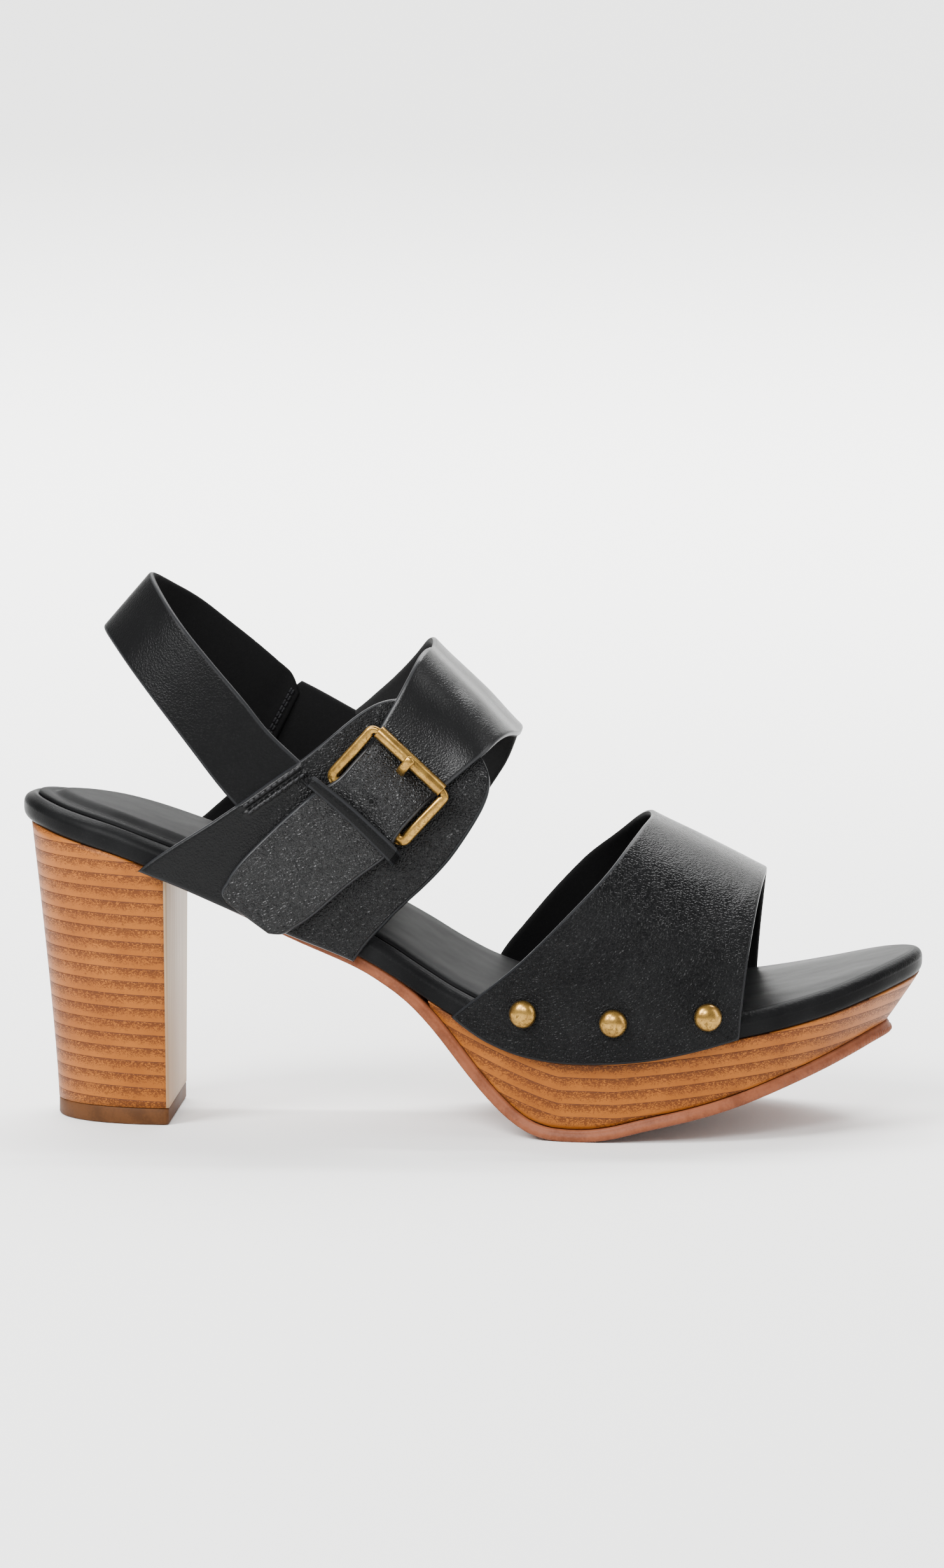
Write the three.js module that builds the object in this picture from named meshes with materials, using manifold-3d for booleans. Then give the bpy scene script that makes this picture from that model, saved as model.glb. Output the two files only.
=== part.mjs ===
import * as THREE from "three";
import { mergeVertices } from "three/addons/utils/BufferGeometryUtils.js";
import Module from "manifold-3d";

const wasm = await Module();
wasm.setup();

// A right shoe in millimetres. +X runs from heel to toe, +Y to the foot's inner side, +Z up.
const footbedLength = 246;
const ballWidth = 86;
const seatWidth = 62.8;
// Floor to the underside of the footbed at the back of the heel, and at the ball.
const heelHeight = 82.3;
const ballHeight = 25.8;
// The toe tip's underside above the ball's.
const toeSpring = 14.8;
// The ball line runs a little forward on the inner side: this much for each mm across.
const ballSkew = 0.12;
const footbedThickness = 7;
const sockThickness = 1.8;
const sockMargin = 4.2;
const clearance = 0.3;

// The last's ridge above the footbed's underside at the instep.
const instepHeight = 90;
const strapThickness = 1.8;
// How far the vamp strap reaches down over the platform.
const vampCover = 4;
// The sling's top edge above the footbed's underside, at the back of the heel.
const slingRise = 76.7;

const outsoleThickness = 3.2;
// The outsole's edge stands this far inside the footbed's outline.
const outsoleMargin = 1.8;
const platformMargin = 0.8;
// How far the platform's side leans in from top to bottom, and at the toe.
const platformDraft = 2.4;
const toeDraft = 6.2;
const outsoleToeRise = 24.6;

const heelTipHeight = 4.8;
const heelTopWidth = 55.6;
const heelTipWidth = 45;
const heelTopBack = 2.2;
const heelBottomBack = 9.3;
const breastPlace = 42;

const buckleAcross = 29.6;
const buckleAlong = 21.3;
const buckleBarWidth = 3.3;
const buckleBarThickness = 2.6;
const buckleCornerRadius = 3.4;
const rollerDiameter = 3.8;
const rollerLength = 23.6;
const prongWidth = 2.6;
const prongThickness = 1.5;
const prongSlotLength = 4.8;
// The slot's middle, forward of the buckle's.
const prongSlotPlace = 3.9;
const keeperWidth = 5;
const keeperThickness = 1.2;
const studDiameter = 7.6;
const studHeight = 3;

// Footbed outline: half width as a share of half the local width, shift of its middle as a
// share of the ball's width.
const outlineRows = [
  { share: 0, half: 0, shift: 0 },
  { share: 0.02, half: 0.414, shift: 0 },
  { share: 0.05, half: 0.653, shift: 0 },
  { share: 0.1, half: 0.86, shift: 0 },
  { share: 0.16, half: 0.978, shift: 0 },
  { share: 0.22, half: 1, shift: -0.002 },
  { share: 0.3, half: 0.955, shift: -0.012 },
  { share: 0.4, half: 0.843, shift: -0.029 },
  { share: 0.48, half: 0.789, shift: -0.037 },
  { share: 0.55, half: 0.831, shift: -0.035 },
  { share: 0.62, half: 0.919, shift: -0.023 },
  { share: 0.68, half: 0.981, shift: -0.008 },
  { share: 0.74, half: 1, shift: 0.006 },
  { share: 0.8, half: 0.958, shift: 0.021 },
  { share: 0.86, half: 0.865, shift: 0.038 },
  { share: 0.91, half: 0.733, shift: 0.058 },
  { share: 0.95, half: 0.551, shift: 0.079 },
  { share: 0.98, half: 0.337, shift: 0.099 },
  { share: 1, half: 0, shift: 0.116 },
];

// Footbed underside: share of the climb from ball to heel, and of the toe spring.
const profileRows = [
  { share: 0, climb: 1, spring: 0 },
  { share: 0.052, climb: 0.94, spring: 0 },
  { share: 0.109, climb: 0.88, spring: 0 },
  { share: 0.171, climb: 0.791, spring: 0 },
  { share: 0.244, climb: 0.669, spring: 0 },
  { share: 0.325, climb: 0.533, spring: 0 },
  { share: 0.396, climb: 0.411, spring: 0 },
  { share: 0.434, climb: 0.322, spring: 0 },
  { share: 0.476, climb: 0.207, spring: 0 },
  { share: 0.508, climb: 0.127, spring: 0 },
  { share: 0.549, climb: 0.053, spring: 0 },
  { share: 0.598, climb: 0.011, spring: 0 },
  { share: 0.642, climb: 0, spring: 0 },
  { share: 0.691, climb: 0, spring: 0.007 },
  { share: 0.752, climb: 0, spring: 0.081 },
  { share: 0.811, climb: 0, spring: 0.209 },
  { share: 0.892, climb: 0, spring: 0.486 },
  { share: 0.967, climb: 0, spring: 0.845 },
  { share: 1, climb: 0, spring: 1 },
];

// Walking face of the outsole: share of the height that is left under the footbed, then share of
// its rise at the toe.
const treadRows = [
  { share: 0.16, under: 1, rise: 0 },
  { share: 0.4, under: 1, rise: 0 },
  { share: 0.437, under: 0.975, rise: 0 },
  { share: 0.46, under: 0.94, rise: 0 },
  { share: 0.48, under: 0.82, rise: 0 },
  { share: 0.505, under: 0.63, rise: 0 },
  { share: 0.533, under: 0.39, rise: 0 },
  { share: 0.56, under: 0.15, rise: 0 },
  { share: 0.578, under: 0.045, rise: 0 },
  { share: 0.6, under: 0, rise: 0 },
  { share: 0.645, under: 0, rise: 0 },
  { share: 0.695, under: 0, rise: 0.12 },
  { share: 0.783, under: 0, rise: 0.329 },
  { share: 0.87, under: 0, rise: 0.634 },
  { share: 0.97, under: 0, rise: 1 },
];

// The last's ridge above the footbed's underside, as a share of the instep's height.
const lastRows = [
  { share: 0, height: 1.3 },
  { share: 0.244, height: 1.249 },
  { share: 0.407, height: 1.067 },
  { share: 0.464, height: 1.004 },
  { share: 0.511, height: 0.956 },
  { share: 0.559, height: 0.869 },
  { share: 0.63, height: 0.762 },
  { share: 0.704, height: 0.644 },
  { share: 0.768, height: 0.541 },
  { share: 0.83, height: 0.427 },
  { share: 1, height: 0.082 },
];

// Straps lie on the last. A turn of 0 is the footbed's outer edge, 1 the ridge and 2 the inner
// edge. Back and front edges are shares of the footbed's length.
const vampRows = [
  { back: 0.488, backTurn: 0, front: 0.808, frontTurn: 0 },
  { back: 0.519, backTurn: 0.075, front: 0.81, frontTurn: 0.075 },
  { back: 0.57, backTurn: 0.19, front: 0.812, frontTurn: 0.18 },
  { back: 0.623, backTurn: 0.317, front: 0.816, frontTurn: 0.31 },
  { back: 0.67, backTurn: 0.494, front: 0.822, frontTurn: 0.499 },
  { back: 0.7, backTurn: 0.734, front: 0.828, frontTurn: 0.72 },
  { back: 0.704, backTurn: 1, front: 0.83, frontTurn: 1 },
  { back: 0.7, backTurn: 1.27, front: 0.827, frontTurn: 1.27 },
  { back: 0.665, backTurn: 1.476, front: 0.821, frontTurn: 1.5 },
  { back: 0.615, backTurn: 1.652, front: 0.815, frontTurn: 1.68 },
  { back: 0.574, backTurn: 1.77, front: 0.811, frontTurn: 1.81 },
  { back: 0.534, backTurn: 1.898, front: 0.81, frontTurn: 1.91 },
  { back: 0.51, backTurn: 2, front: 0.808, frontTurn: 2 },
];

const outerQuarterRows = [
  { back: 0.14, backTurn: -0.01, front: 0.38, frontTurn: -0.01 },
  { back: 0.171, backTurn: 0.038, front: 0.409, frontTurn: 0.077 },
  { back: 0.203, backTurn: 0.082, front: 0.439, frontTurn: 0.155 },
  { back: 0.231, backTurn: 0.121, front: 0.466, frontTurn: 0.232 },
  { back: 0.253, backTurn: 0.16, front: 0.485, frontTurn: 0.285 },
  { back: 0.29, backTurn: 0.215, front: 0.498, frontTurn: 0.33 },
  { back: 0.326, backTurn: 0.28, front: 0.512, frontTurn: 0.385 },
  { back: 0.352, backTurn: 0.331, front: 0.525, frontTurn: 0.438 },
  { back: 0.377, backTurn: 0.388, front: 0.531, frontTurn: 0.484 },
  { back: 0.408, backTurn: 0.465, front: 0.533, frontTurn: 0.53 },
  { back: 0.428, backTurn: 0.508, front: 0.526, frontTurn: 0.551 },
  { back: 0.445, backTurn: 0.53, front: 0.512, frontTurn: 0.556 },
];

const innerQuarterRows = [
  { back: 0.265, backTurn: 1.7, front: 0.505, frontTurn: 1.65 },
  { back: 0.259, backTurn: 1.77, front: 0.496, frontTurn: 1.69 },
  { back: 0.25, backTurn: 1.84, front: 0.485, frontTurn: 1.73 },
  { back: 0.231, backTurn: 1.885, front: 0.466, frontTurn: 1.785 },
  { back: 0.21, backTurn: 1.912, front: 0.439, frontTurn: 1.855 },
  { back: 0.182, backTurn: 1.95, front: 0.409, frontTurn: 1.93 },
  { back: 0.155, backTurn: 2.01, front: 0.385, frontTurn: 2.01 },
];

// The instep band, from its free end on the outer side to the inner quarter. Layer counts the
// walls that it lies over.
const bandRows = [
  { back: 0.241, backTurn: 0.002, front: 0.287, frontTurn: -0.018, layer: 1.1 },
  { back: 0.232, backTurn: 0.02, front: 0.31, frontTurn: -0.006, layer: 1.1 },
  { back: 0.244, backTurn: 0.05, front: 0.333, frontTurn: 0.03, layer: 1.05 },
  { back: 0.284, backTurn: 0.13, front: 0.372, frontTurn: 0.11, layer: 1.05 },
  { back: 0.318, backTurn: 0.197, front: 0.4, frontTurn: 0.173, layer: 1.25 },
  { back: 0.332, backTurn: 0.224, front: 0.413, frontTurn: 0.194, layer: 1.45 },
  { back: 0.341, backTurn: 0.239, front: 0.42, frontTurn: 0.212, layer: 2.05 },
  { back: 0.351, backTurn: 0.252, front: 0.424, frontTurn: 0.23, layer: 2.4 },
  { back: 0.362, backTurn: 0.266, front: 0.428, frontTurn: 0.249, layer: 2.6 },
  { back: 0.37, backTurn: 0.286, front: 0.436, frontTurn: 0.272, layer: 2.52 },
  { back: 0.381, backTurn: 0.315, front: 0.447, frontTurn: 0.306, layer: 2.25 },
  { back: 0.392, backTurn: 0.347, front: 0.459, frontTurn: 0.341, layer: 1.8 },
  { back: 0.402, backTurn: 0.378, front: 0.469, frontTurn: 0.374, layer: 1.3 },
  { back: 0.408, backTurn: 0.41, front: 0.482, frontTurn: 0.408, layer: 1 },
  { back: 0.418, backTurn: 0.445, front: 0.491, frontTurn: 0.442, layer: 1 },
  { back: 0.433, backTurn: 0.511, front: 0.512, frontTurn: 0.497, layer: 1 },
  { back: 0.447, backTurn: 0.612, front: 0.533, frontTurn: 0.576, layer: 1 },
  { back: 0.458, backTurn: 0.766, front: 0.552, frontTurn: 0.73, layer: 0.6 },
  { back: 0.462, backTurn: 1, front: 0.561, frontTurn: 1, layer: 0 },
  { back: 0.459, backTurn: 1.25, front: 0.558, frontTurn: 1.25, layer: 0 },
  { back: 0.444, backTurn: 1.448, front: 0.545, frontTurn: 1.468, layer: 0 },
  { back: 0.414, backTurn: 1.557, front: 0.53, frontTurn: 1.55, layer: 0 },
  { back: 0.371, backTurn: 1.648, front: 0.515, frontTurn: 1.611, layer: 0 },
  { back: 0.333, backTurn: 1.74, front: 0.498, frontTurn: 1.69, layer: 0 },
];

// The sling's lower and upper edges, round the heel from the outer to the inner quarter: length
// share, rise above the footbed as a share of the sling's rise, side as a share of half the seat.
const slingRows = [
  { low: 0.258, lowRise: 0.326, lowSide: -1.006, top: 0.331, topRise: 0.58, topSide: -0.969 },
  { low: 0.229, lowRise: 0.392, lowSide: -0.964, top: 0.286, topRise: 0.656, topSide: -0.947 },
  { low: 0.197, lowRise: 0.478, lowSide: -0.899, top: 0.257, topRise: 0.73, topSide: -0.901 },
  { low: 0.164, lowRise: 0.565, lowSide: -0.79, top: 0.22, topRise: 0.812, topSide: -0.8 },
  { low: 0.134, lowRise: 0.641, lowSide: -0.621, top: 0.188, topRise: 0.883, topSide: -0.651 },
  { low: 0.11, lowRise: 0.701, lowSide: -0.398, top: 0.163, topRise: 0.946, topSide: -0.414 },
  { low: 0.089, lowRise: 0.748, lowSide: 0, top: 0.143, topRise: 1, topSide: 0 },
  { low: 0.11, lowRise: 0.711, lowSide: 0.398, top: 0.162, topRise: 0.966, topSide: 0.398 },
  { low: 0.136, lowRise: 0.661, lowSide: 0.611, top: 0.189, topRise: 0.931, topSide: 0.613 },
  { low: 0.167, lowRise: 0.595, lowSide: 0.764, top: 0.22, topRise: 0.883, topSide: 0.747 },
  { low: 0.197, lowRise: 0.531, lowSide: 0.862, top: 0.25, topRise: 0.837, topSide: 0.841 },
  { low: 0.222, lowRise: 0.486, lowSide: 0.92, top: 0.272, topRise: 0.799, topSide: 0.905 },
  { low: 0.244, lowRise: 0.448, lowSide: 0.965, top: 0.289, topRise: 0.764, topSide: 0.96 },
];

// The keeper's two edges across the band, with how far its outer face stands off the quarter.
const keeperRows = [
  { place: -0.032, back: 1.35, front: 1.35 },
  { place: -0.024, back: 3.8, front: 4.2 },
  { place: 0.01, back: 5.8, front: 6.5 },
  { place: 0.06, back: 6.1, front: 6.9 },
  { place: 0.5, back: 6.2, front: 7 },
  { place: 0.94, back: 6.1, front: 6.9 },
  { place: 0.99, back: 5.8, front: 6.5 },
  { place: 1.024, back: 3.8, front: 4.2 },
  { place: 1.032, back: 1.35, front: 1.35 },
];

// Where the buckle, the keeper and the studs sit on the last.
const buckleCorners = {
  hiddenTop: { share: 0.348, turn: 0.271 },
  rollerTop: { share: 0.405, turn: 0.429 },
  rollerLow: { share: 0.494, turn: 0.423 },
  hiddenLow: { share: 0.434, turn: 0.243 },
};
const keeperCorners = {
  backTop: { share: 0.331, turn: 0.236 },
  frontTop: { share: 0.338, turn: 0.256 },
  backLow: { share: 0.422, turn: 0.203 },
  frontLow: { share: 0.4325, turn: 0.235 },
};
const studPlaces = [
  { share: 0.57, turn: 0.071 },
  { share: 0.67, turn: 0.078 },
  { share: 0.773, turn: 0.102 },
];

const { clamp, lerp, smoothstep } = THREE.MathUtils;
const layerLift = strapThickness + clearance;
const middleOf = ([from, to]) => from.clone().lerp(to, 0.5);

// A length share bent so that equal steps turn evenly round the ends of the outline.
function bend(share) {
  return Math.acos(clamp(1 - 2 * share, -1, 1)) / Math.PI;
}

// A smooth curve through one column of a table, which never overshoots the rows.
function track(places, values) {
  const steps = places.slice(1).map((place, i) => place - places[i]);
  const rises = steps.map((step, i) => (values[i + 1] - values[i]) / step);
  const slopes = values.map((value, i) => {
    if (i === 0) return rises[0];
    if (i === rises.length) return rises[i - 1];
    if (rises[i - 1] * rises[i] <= 0) return 0;
    const before = 2 * steps[i] + steps[i - 1];
    const after = steps[i] + 2 * steps[i - 1];
    return (before + after) / (before / rises[i - 1] + after / rises[i]);
  });
  return (place) => {
    const at = clamp(place, places[0], places[places.length - 1]);
    let i = 0;
    while (i < steps.length - 1 && at > places[i + 1]) i += 1;
    const t = (at - places[i]) / steps[i];
    const ends = values[i] * (1 + 2 * t) * (1 - t) ** 2 + values[i + 1] * t * t * (3 - 2 * t);
    return ends + steps[i] * t * (1 - t) * (slopes[i] * (1 - t) - slopes[i + 1] * t);
  };
}

const trackByShare = (rows, column) => track(rows.map((row) => row.share), rows.map((row) => row[column]));
const trackByBend = (rows, column) =>
  track(rows.map((row) => bend(row.share)), rows.map((row) => row[column]));
const trackByRow = (rows, column) =>
  track(rows.map((row, i) => i / (rows.length - 1)), rows.map((row) => row[column]));

const outlineHalf = trackByBend(outlineRows, "half");
const outlineShift = trackByBend(outlineRows, "shift");
const climbShare = trackByShare(profileRows, "climb");
const springShare = trackByShare(profileRows, "spring");
const treadUnder = trackByShare(treadRows, "under");
const treadRise = trackByShare(treadRows, "rise");
const lastHeight = trackByShare(lastRows, "height");

function halfWidth(share) {
  return (lerp(seatWidth, ballWidth, smoothstep(share, 0.3, 0.6)) / 2) * outlineHalf(bend(share));
}

function middle(share) {
  return ballWidth * outlineShift(bend(share));
}

// Height of the footbed's underside over a point of the floor.
function underside(x, y) {
  const share = clamp(x / footbedLength, 0, 1);
  const skewed = smoothstep(share, 0.16, 0.36) * (1 - smoothstep(share, 0.55, 0.71));
  const at = share - (ballSkew * skewed * y) / footbedLength;
  return lerp(ballHeight, heelHeight, climbShare(at)) + toeSpring * springShare(at);
}

// A point on the last or on a layer above it. The section is a superellipse over the footbed,
// rounder at the ball than at the ankle.
function lastPoint(share, turn, lift) {
  const angle = (Math.PI / 2) * clamp(turn, 0, 2);
  const power = lerp(3.2, 2.4, smoothstep(share, 0.55, 0.67));
  const reach = (Math.abs(Math.cos(angle)) ** power + Math.abs(Math.sin(angle)) ** power) ** (-1 / power);
  const x = share * footbedLength;
  const y = middle(share) - (halfWidth(share) + lift) * reach * Math.cos(angle);
  const height = instepHeight * lastHeight(share) + lift - layerLift;
  const below = Math.min(turn, 0) - Math.max(turn - 2, 0);
  return new THREE.Vector3(x, y, underside(x, y) + height * (reach * Math.sin(angle) + (Math.PI / 2) * below));
}

// A closed body from points and triangles: doubled points are merged, empty faces dropped and
// the whole turned the right way out.
function body(points, triangles) {
  const loose = new THREE.BufferGeometry();
  loose.setAttribute("position", new THREE.Float32BufferAttribute(points.flatMap((p) => [p.x, p.y, p.z]), 3));
  loose.setIndex(triangles);
  const merged = mergeVertices(loose, 1e-3);
  const index = merged.index.array;
  const at = merged.attributes.position;
  const kept = [];
  let volume = 0;
  const [a, b, c] = [new THREE.Vector3(), new THREE.Vector3(), new THREE.Vector3()];
  for (let i = 0; i < index.length; i += 3) {
    const [p, q, r] = [index[i], index[i + 1], index[i + 2]];
    if (p === q || q === r || r === p) continue;
    kept.push(p, q, r);
    a.fromBufferAttribute(at, p);
    b.fromBufferAttribute(at, q);
    c.fromBufferAttribute(at, r);
    volume += a.dot(b.cross(c));
  }
  merged.setIndex(volume < 0 ? kept.reverse() : kept);
  return merged;
}

// Rings of equal count, bottom to top. Each runs along the outer side to the toe and back along
// the inner side, and the ends are closed by strips across.
function stack(rings) {
  const count = rings[0].length;
  const triangles = [];
  const quad = (a, b, c, d) => triangles.push(a, b, c, a, c, d);
  for (let level = 0; level < rings.length - 1; level += 1) {
    for (let k = 0; k < count; k += 1) {
      const next = (k + 1) % count;
      const low = level * count;
      quad(low + k, low + next, low + count + next, low + count + k);
    }
  }
  const top = (rings.length - 1) * count;
  for (let k = 0; k < count / 2 - 1; k += 1) {
    quad(k, count - 1 - k, count - 2 - k, k + 1);
    quad(top + k, top + k + 1, top + count - 2 - k, top + count - 1 - k);
  }
  return body(rings.flat(), triangles);
}

// A grid of points as the outer face of a closed wall whose thickness goes inwards.
function wall(sheet, across, along, thickness) {
  const width = across + 1;
  const outer = [];
  const inner = [];
  const nudge = 1e-3;
  for (let j = 0; j <= along; j += 1) {
    for (let i = 0; i <= across; i += 1) {
      const [u, v] = [i / across, j / along];
      const right = sheet(Math.min(u + nudge, 1), v).sub(sheet(Math.max(u - nudge, 0), v));
      const ahead = sheet(u, Math.min(v + nudge, 1)).sub(sheet(u, Math.max(v - nudge, 0)));
      const normal = right.cross(ahead).normalize();
      outer.push(sheet(u, v));
      inner.push(sheet(u, v).addScaledVector(normal, -thickness));
    }
  }
  const triangles = [];
  const quad = (a, b, c, d) => triangles.push(a, b, c, a, c, d);
  const back = outer.length;
  for (let j = 0; j < along; j += 1) {
    for (let i = 0; i < across; i += 1) {
      const at = j * width + i;
      quad(at, at + 1, at + width + 1, at + width);
      quad(back + at, back + at + width, back + at + width + 1, back + at + 1);
    }
  }
  const edge = (a, b) => quad(a, back + a, back + b, b);
  for (let i = 0; i < across; i += 1) {
    edge(i, i + 1);
    edge(along * width + i + 1, along * width + i);
  }
  for (let j = 0; j < along; j += 1) {
    edge((j + 1) * width, j * width);
    edge(j * width + across, (j + 1) * width + across);
  }
  return body([...outer, ...inner], triangles);
}

// A bar along stations, each with a place, a sideways and an upward axis, a width and a height.
function bar(stations, closed) {
  const sides = 8;
  const points = stations.flatMap((station) =>
    Array.from({ length: sides }, (_, k) => {
      const angle = (2 * Math.PI * (k + 0.5)) / sides;
      return station.at
        .clone()
        .addScaledVector(station.side, (station.width / 2) * Math.cos(angle) * 1.06)
        .addScaledVector(station.up, (station.height / 2) * Math.sin(angle) * 1.06);
    }),
  );
  const triangles = [];
  const spans = closed ? stations.length : stations.length - 1;
  for (let j = 0; j < spans; j += 1) {
    const next = (j + 1) % stations.length;
    for (let k = 0; k < sides; k += 1) {
      const turn = (k + 1) % sides;
      const [a, b, c, d] = [j * sides + k, j * sides + turn, next * sides + turn, next * sides + k];
      triangles.push(a, b, c, a, c, d);
    }
  }
  if (!closed) {
    const end = (stations.length - 1) * sides;
    for (let k = 1; k < sides - 1; k += 1) {
      triangles.push(0, k + 1, k);
      triangles.push(end, end + k, end + k + 1);
    }
  }
  return body(points, triangles);
}

const toSolid = (geometry) =>
  new wasm.Manifold(
    new wasm.Mesh({
      numProp: 3,
      vertProperties: geometry.attributes.position.array,
      triVerts: new Uint32Array(geometry.index.array),
    }),
  );

function toGeometry(solid) {
  const mesh = solid.getMesh();
  const geometry = new THREE.BufferGeometry();
  geometry.setAttribute("position", new THREE.BufferAttribute(mesh.vertProperties, 3));
  geometry.setIndex(new THREE.BufferAttribute(mesh.triVerts, 1));
  return geometry;
}

// Point of the footbed's outline drawn in by a margin, on the outer (-1) or inner (1) side.
function outlinePoint(share, side, margin) {
  const at = (q) => {
    const s = (1 - Math.cos(Math.PI * clamp(q, 0, 1))) / 2;
    return new THREE.Vector2(s * footbedLength, middle(s) + side * halfWidth(s));
  };
  const q = bend(share);
  const nudge = 1e-4;
  const ahead = at(q + nudge).sub(at(q - nudge)).normalize();
  return at(q).add(new THREE.Vector2(ahead.y, -ahead.x).multiplyScalar(side * margin));
}

// One ring of the outline between two shares of the length.
function outlineRing(from, to, steps, margin, place) {
  const shares = Array.from({ length: steps + 1 }, (_, k) => {
    const q = lerp(bend(from), bend(to), k / steps);
    return (1 - Math.cos(Math.PI * q)) / 2;
  });
  const side = (sign) =>
    shares.map((share) => {
      const point = outlinePoint(share, sign, margin(share));
      return place(point.x, point.y);
    });
  return [...side(-1), ...side(1).reverse()];
}

function makeFootbed() {
  const profile = [
    { margin: 1.4, rise: 0 },
    { margin: 0.3, rise: 0.8 },
    { margin: 0, rise: 2.2 },
    { margin: 0, rise: footbedThickness - 2.6 },
    { margin: 0.7, rise: footbedThickness - 0.9 },
    { margin: 2.4, rise: footbedThickness },
  ];
  return stack(
    profile.map(({ margin, rise }) =>
      outlineRing(0, 1, 44, () => margin, (x, y) => new THREE.Vector3(x, y, underside(x, y) + rise)),
    ),
  );
}

const sockEnd = 0.77;

function makeSock() {
  const base = footbedThickness + clearance;
  const profile = [
    { margin: sockMargin, rise: base },
    { margin: sockMargin, rise: base + sockThickness / 2 },
    { margin: sockMargin + 1.3, rise: base + sockThickness },
  ];
  return stack(
    profile.map(({ margin, rise }) =>
      outlineRing(0, sockEnd, 36, () => margin, (x, y) => new THREE.Vector3(x, y, underside(x, y) + rise)),
    ),
  );
}

const breastShare = breastPlace / footbedLength;

// The outsole thins towards the heel's breast.
function soleThickness(share) {
  return outsoleThickness * lerp(0.55, 1, smoothstep(share, breastShare, 0.4));
}

// The walking face of the outsole.
function treadPoint(x, y) {
  const share = x / footbedLength;
  const hang = underside(x, y) - 1.08 * (soleThickness(share) + clearance);
  return new THREE.Vector3(x, y, hang * treadUnder(share) + outsoleToeRise * treadRise(share));
}

// The walking face moved up along its own slope.
function aboveTread(x, y, lift) {
  const nudge = 0.2;
  const slope = (treadPoint(x + nudge, y).z - treadPoint(x - nudge, y).z) / (2 * nudge);
  return treadPoint(x, y).add(new THREE.Vector3(-slope, 0, 1).normalize().multiplyScalar(lift));
}

// Height of that moved face straight above a point of the floor.
function heightAboveTread(x, y, lift) {
  let from = x;
  for (let round = 0; round < 12; round += 1) from -= aboveTread(from, y, lift).x - x;
  return aboveTread(from, y, lift).z;
}

const toeLean = (share) => toeDraft * smoothstep(share, 0.8, 1);

function makeOutsole() {
  const lip = 0.6;
  const profile = [
    { margin: lip, share: 0 },
    { margin: 0, share: 0.22 },
    { margin: 0, share: 0.78 },
    { margin: lip, share: 1 },
  ];
  return stack(
    profile.map(({ margin, share }) =>
      outlineRing(
        breastShare + 0.004,
        1,
        44,
        (at) => outsoleMargin + margin + toeLean(at),
        (x, y) => aboveTread(x, y, share * soleThickness(x / footbedLength)),
      ),
    ),
  );
}

const platformBase = (x, y) => heightAboveTread(x, y, soleThickness(x / footbedLength) + clearance);

// The platform starts where the shank's underside and the outsole have parted this far.
function platformStart() {
  const least = 0.9;
  let share = 0.44;
  while (share < 0.6) {
    const x = share * footbedLength;
    if (underside(x, 0) - clearance - platformBase(x, 0) > least) break;
    share += 0.001;
  }
  return share;
}

function makePlatform() {
  const start = platformStart();
  const ring = (lean, place) =>
    outlineRing(start, 1, 40, (at) => platformMargin + lean * (platformDraft + toeLean(at)), place);
  const top = (x, y) => underside(x, y) - clearance;
  const between = (share) => (x, y) => new THREE.Vector3(x, y, lerp(platformBase(x, y), top(x, y), share));
  return stack([ring(1, between(0)), ring(0.5, between(0.5)), ring(0, between(1))]);
}

// One level of the D-shaped heel: flat at the breast, round at the back.
function heelRing(rise, margin, place) {
  const steps = 18;
  const corner = 1.2;
  const back = lerp(heelBottomBack, heelTopBack, rise ** 1.25) + margin;
  const front = breastPlace - margin;
  const half = lerp(heelTipWidth, heelTopWidth, rise) / 2 - margin;
  const outer = [];
  for (let k = 0; k <= steps; k += 1) {
    const t = (1 - Math.cos((Math.PI * k) / steps / 2)) ** 1;
    outer.push({ x: lerp(back, front - corner, t), half: half * (1 - (1 - t) ** 2.2) ** (1 / 2.2) });
  }
  outer.push({ x: front - corner * 0.3, half: half - corner * 0.3 });
  outer.push({ x: front, half: half - corner });
  const side = (sign) => outer.map((point) => place(point.x, sign * point.half));
  return [...side(-1), ...side(1).reverse()];
}

function makeHeelTip() {
  const level = (margin, z) => heelRing(0, margin, (x, y) => new THREE.Vector3(x, y, z));
  return stack([level(0.5, 0), level(0, 0.5), level(0, heelTipHeight)]);
}

function makeHeelBlock() {
  const levels = 8;
  const rings = [];
  for (let level = 0; level <= levels; level += 1) {
    const rise = level / levels;
    rings.push(
      heelRing(rise, 0, (x, y) => {
        const top = underside(x, y) - clearance;
        return new THREE.Vector3(x, y, lerp(heelTipHeight, top, rise));
      }),
    );
  }
  return stack(rings);
}

// A sheet on the last between the back and front edges that a table gives.
function strapSheet(rows) {
  const back = trackByRow(rows, "back");
  const backTurn = trackByRow(rows, "backTurn");
  const front = trackByRow(rows, "front");
  const frontTurn = trackByRow(rows, "frontTurn");
  const layer = "layer" in rows[0] ? trackByRow(rows, "layer") : () => 0;
  return (u, v) =>
    lastPoint(lerp(back(v), front(v), u), lerp(backTurn(v), frontTurn(v), u), layerLift * (1 + layer(v)));
}

function makeVampStrap() {
  const sheet = strapSheet(vampRows);
  const lastRow = vampRows.length - 1;
  const reach = (v) => Math.max(0, 1 - v * lastRow) + Math.max(0, 1 - (1 - v) * lastRow);
  const covered = (u, v) => {
    const point = sheet(u, v);
    point.z -= vampCover * Math.sin(Math.PI * u ** 0.8) * reach(v);
    return point;
  };
  return wall(covered, 10, 36, strapThickness);
}

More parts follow.
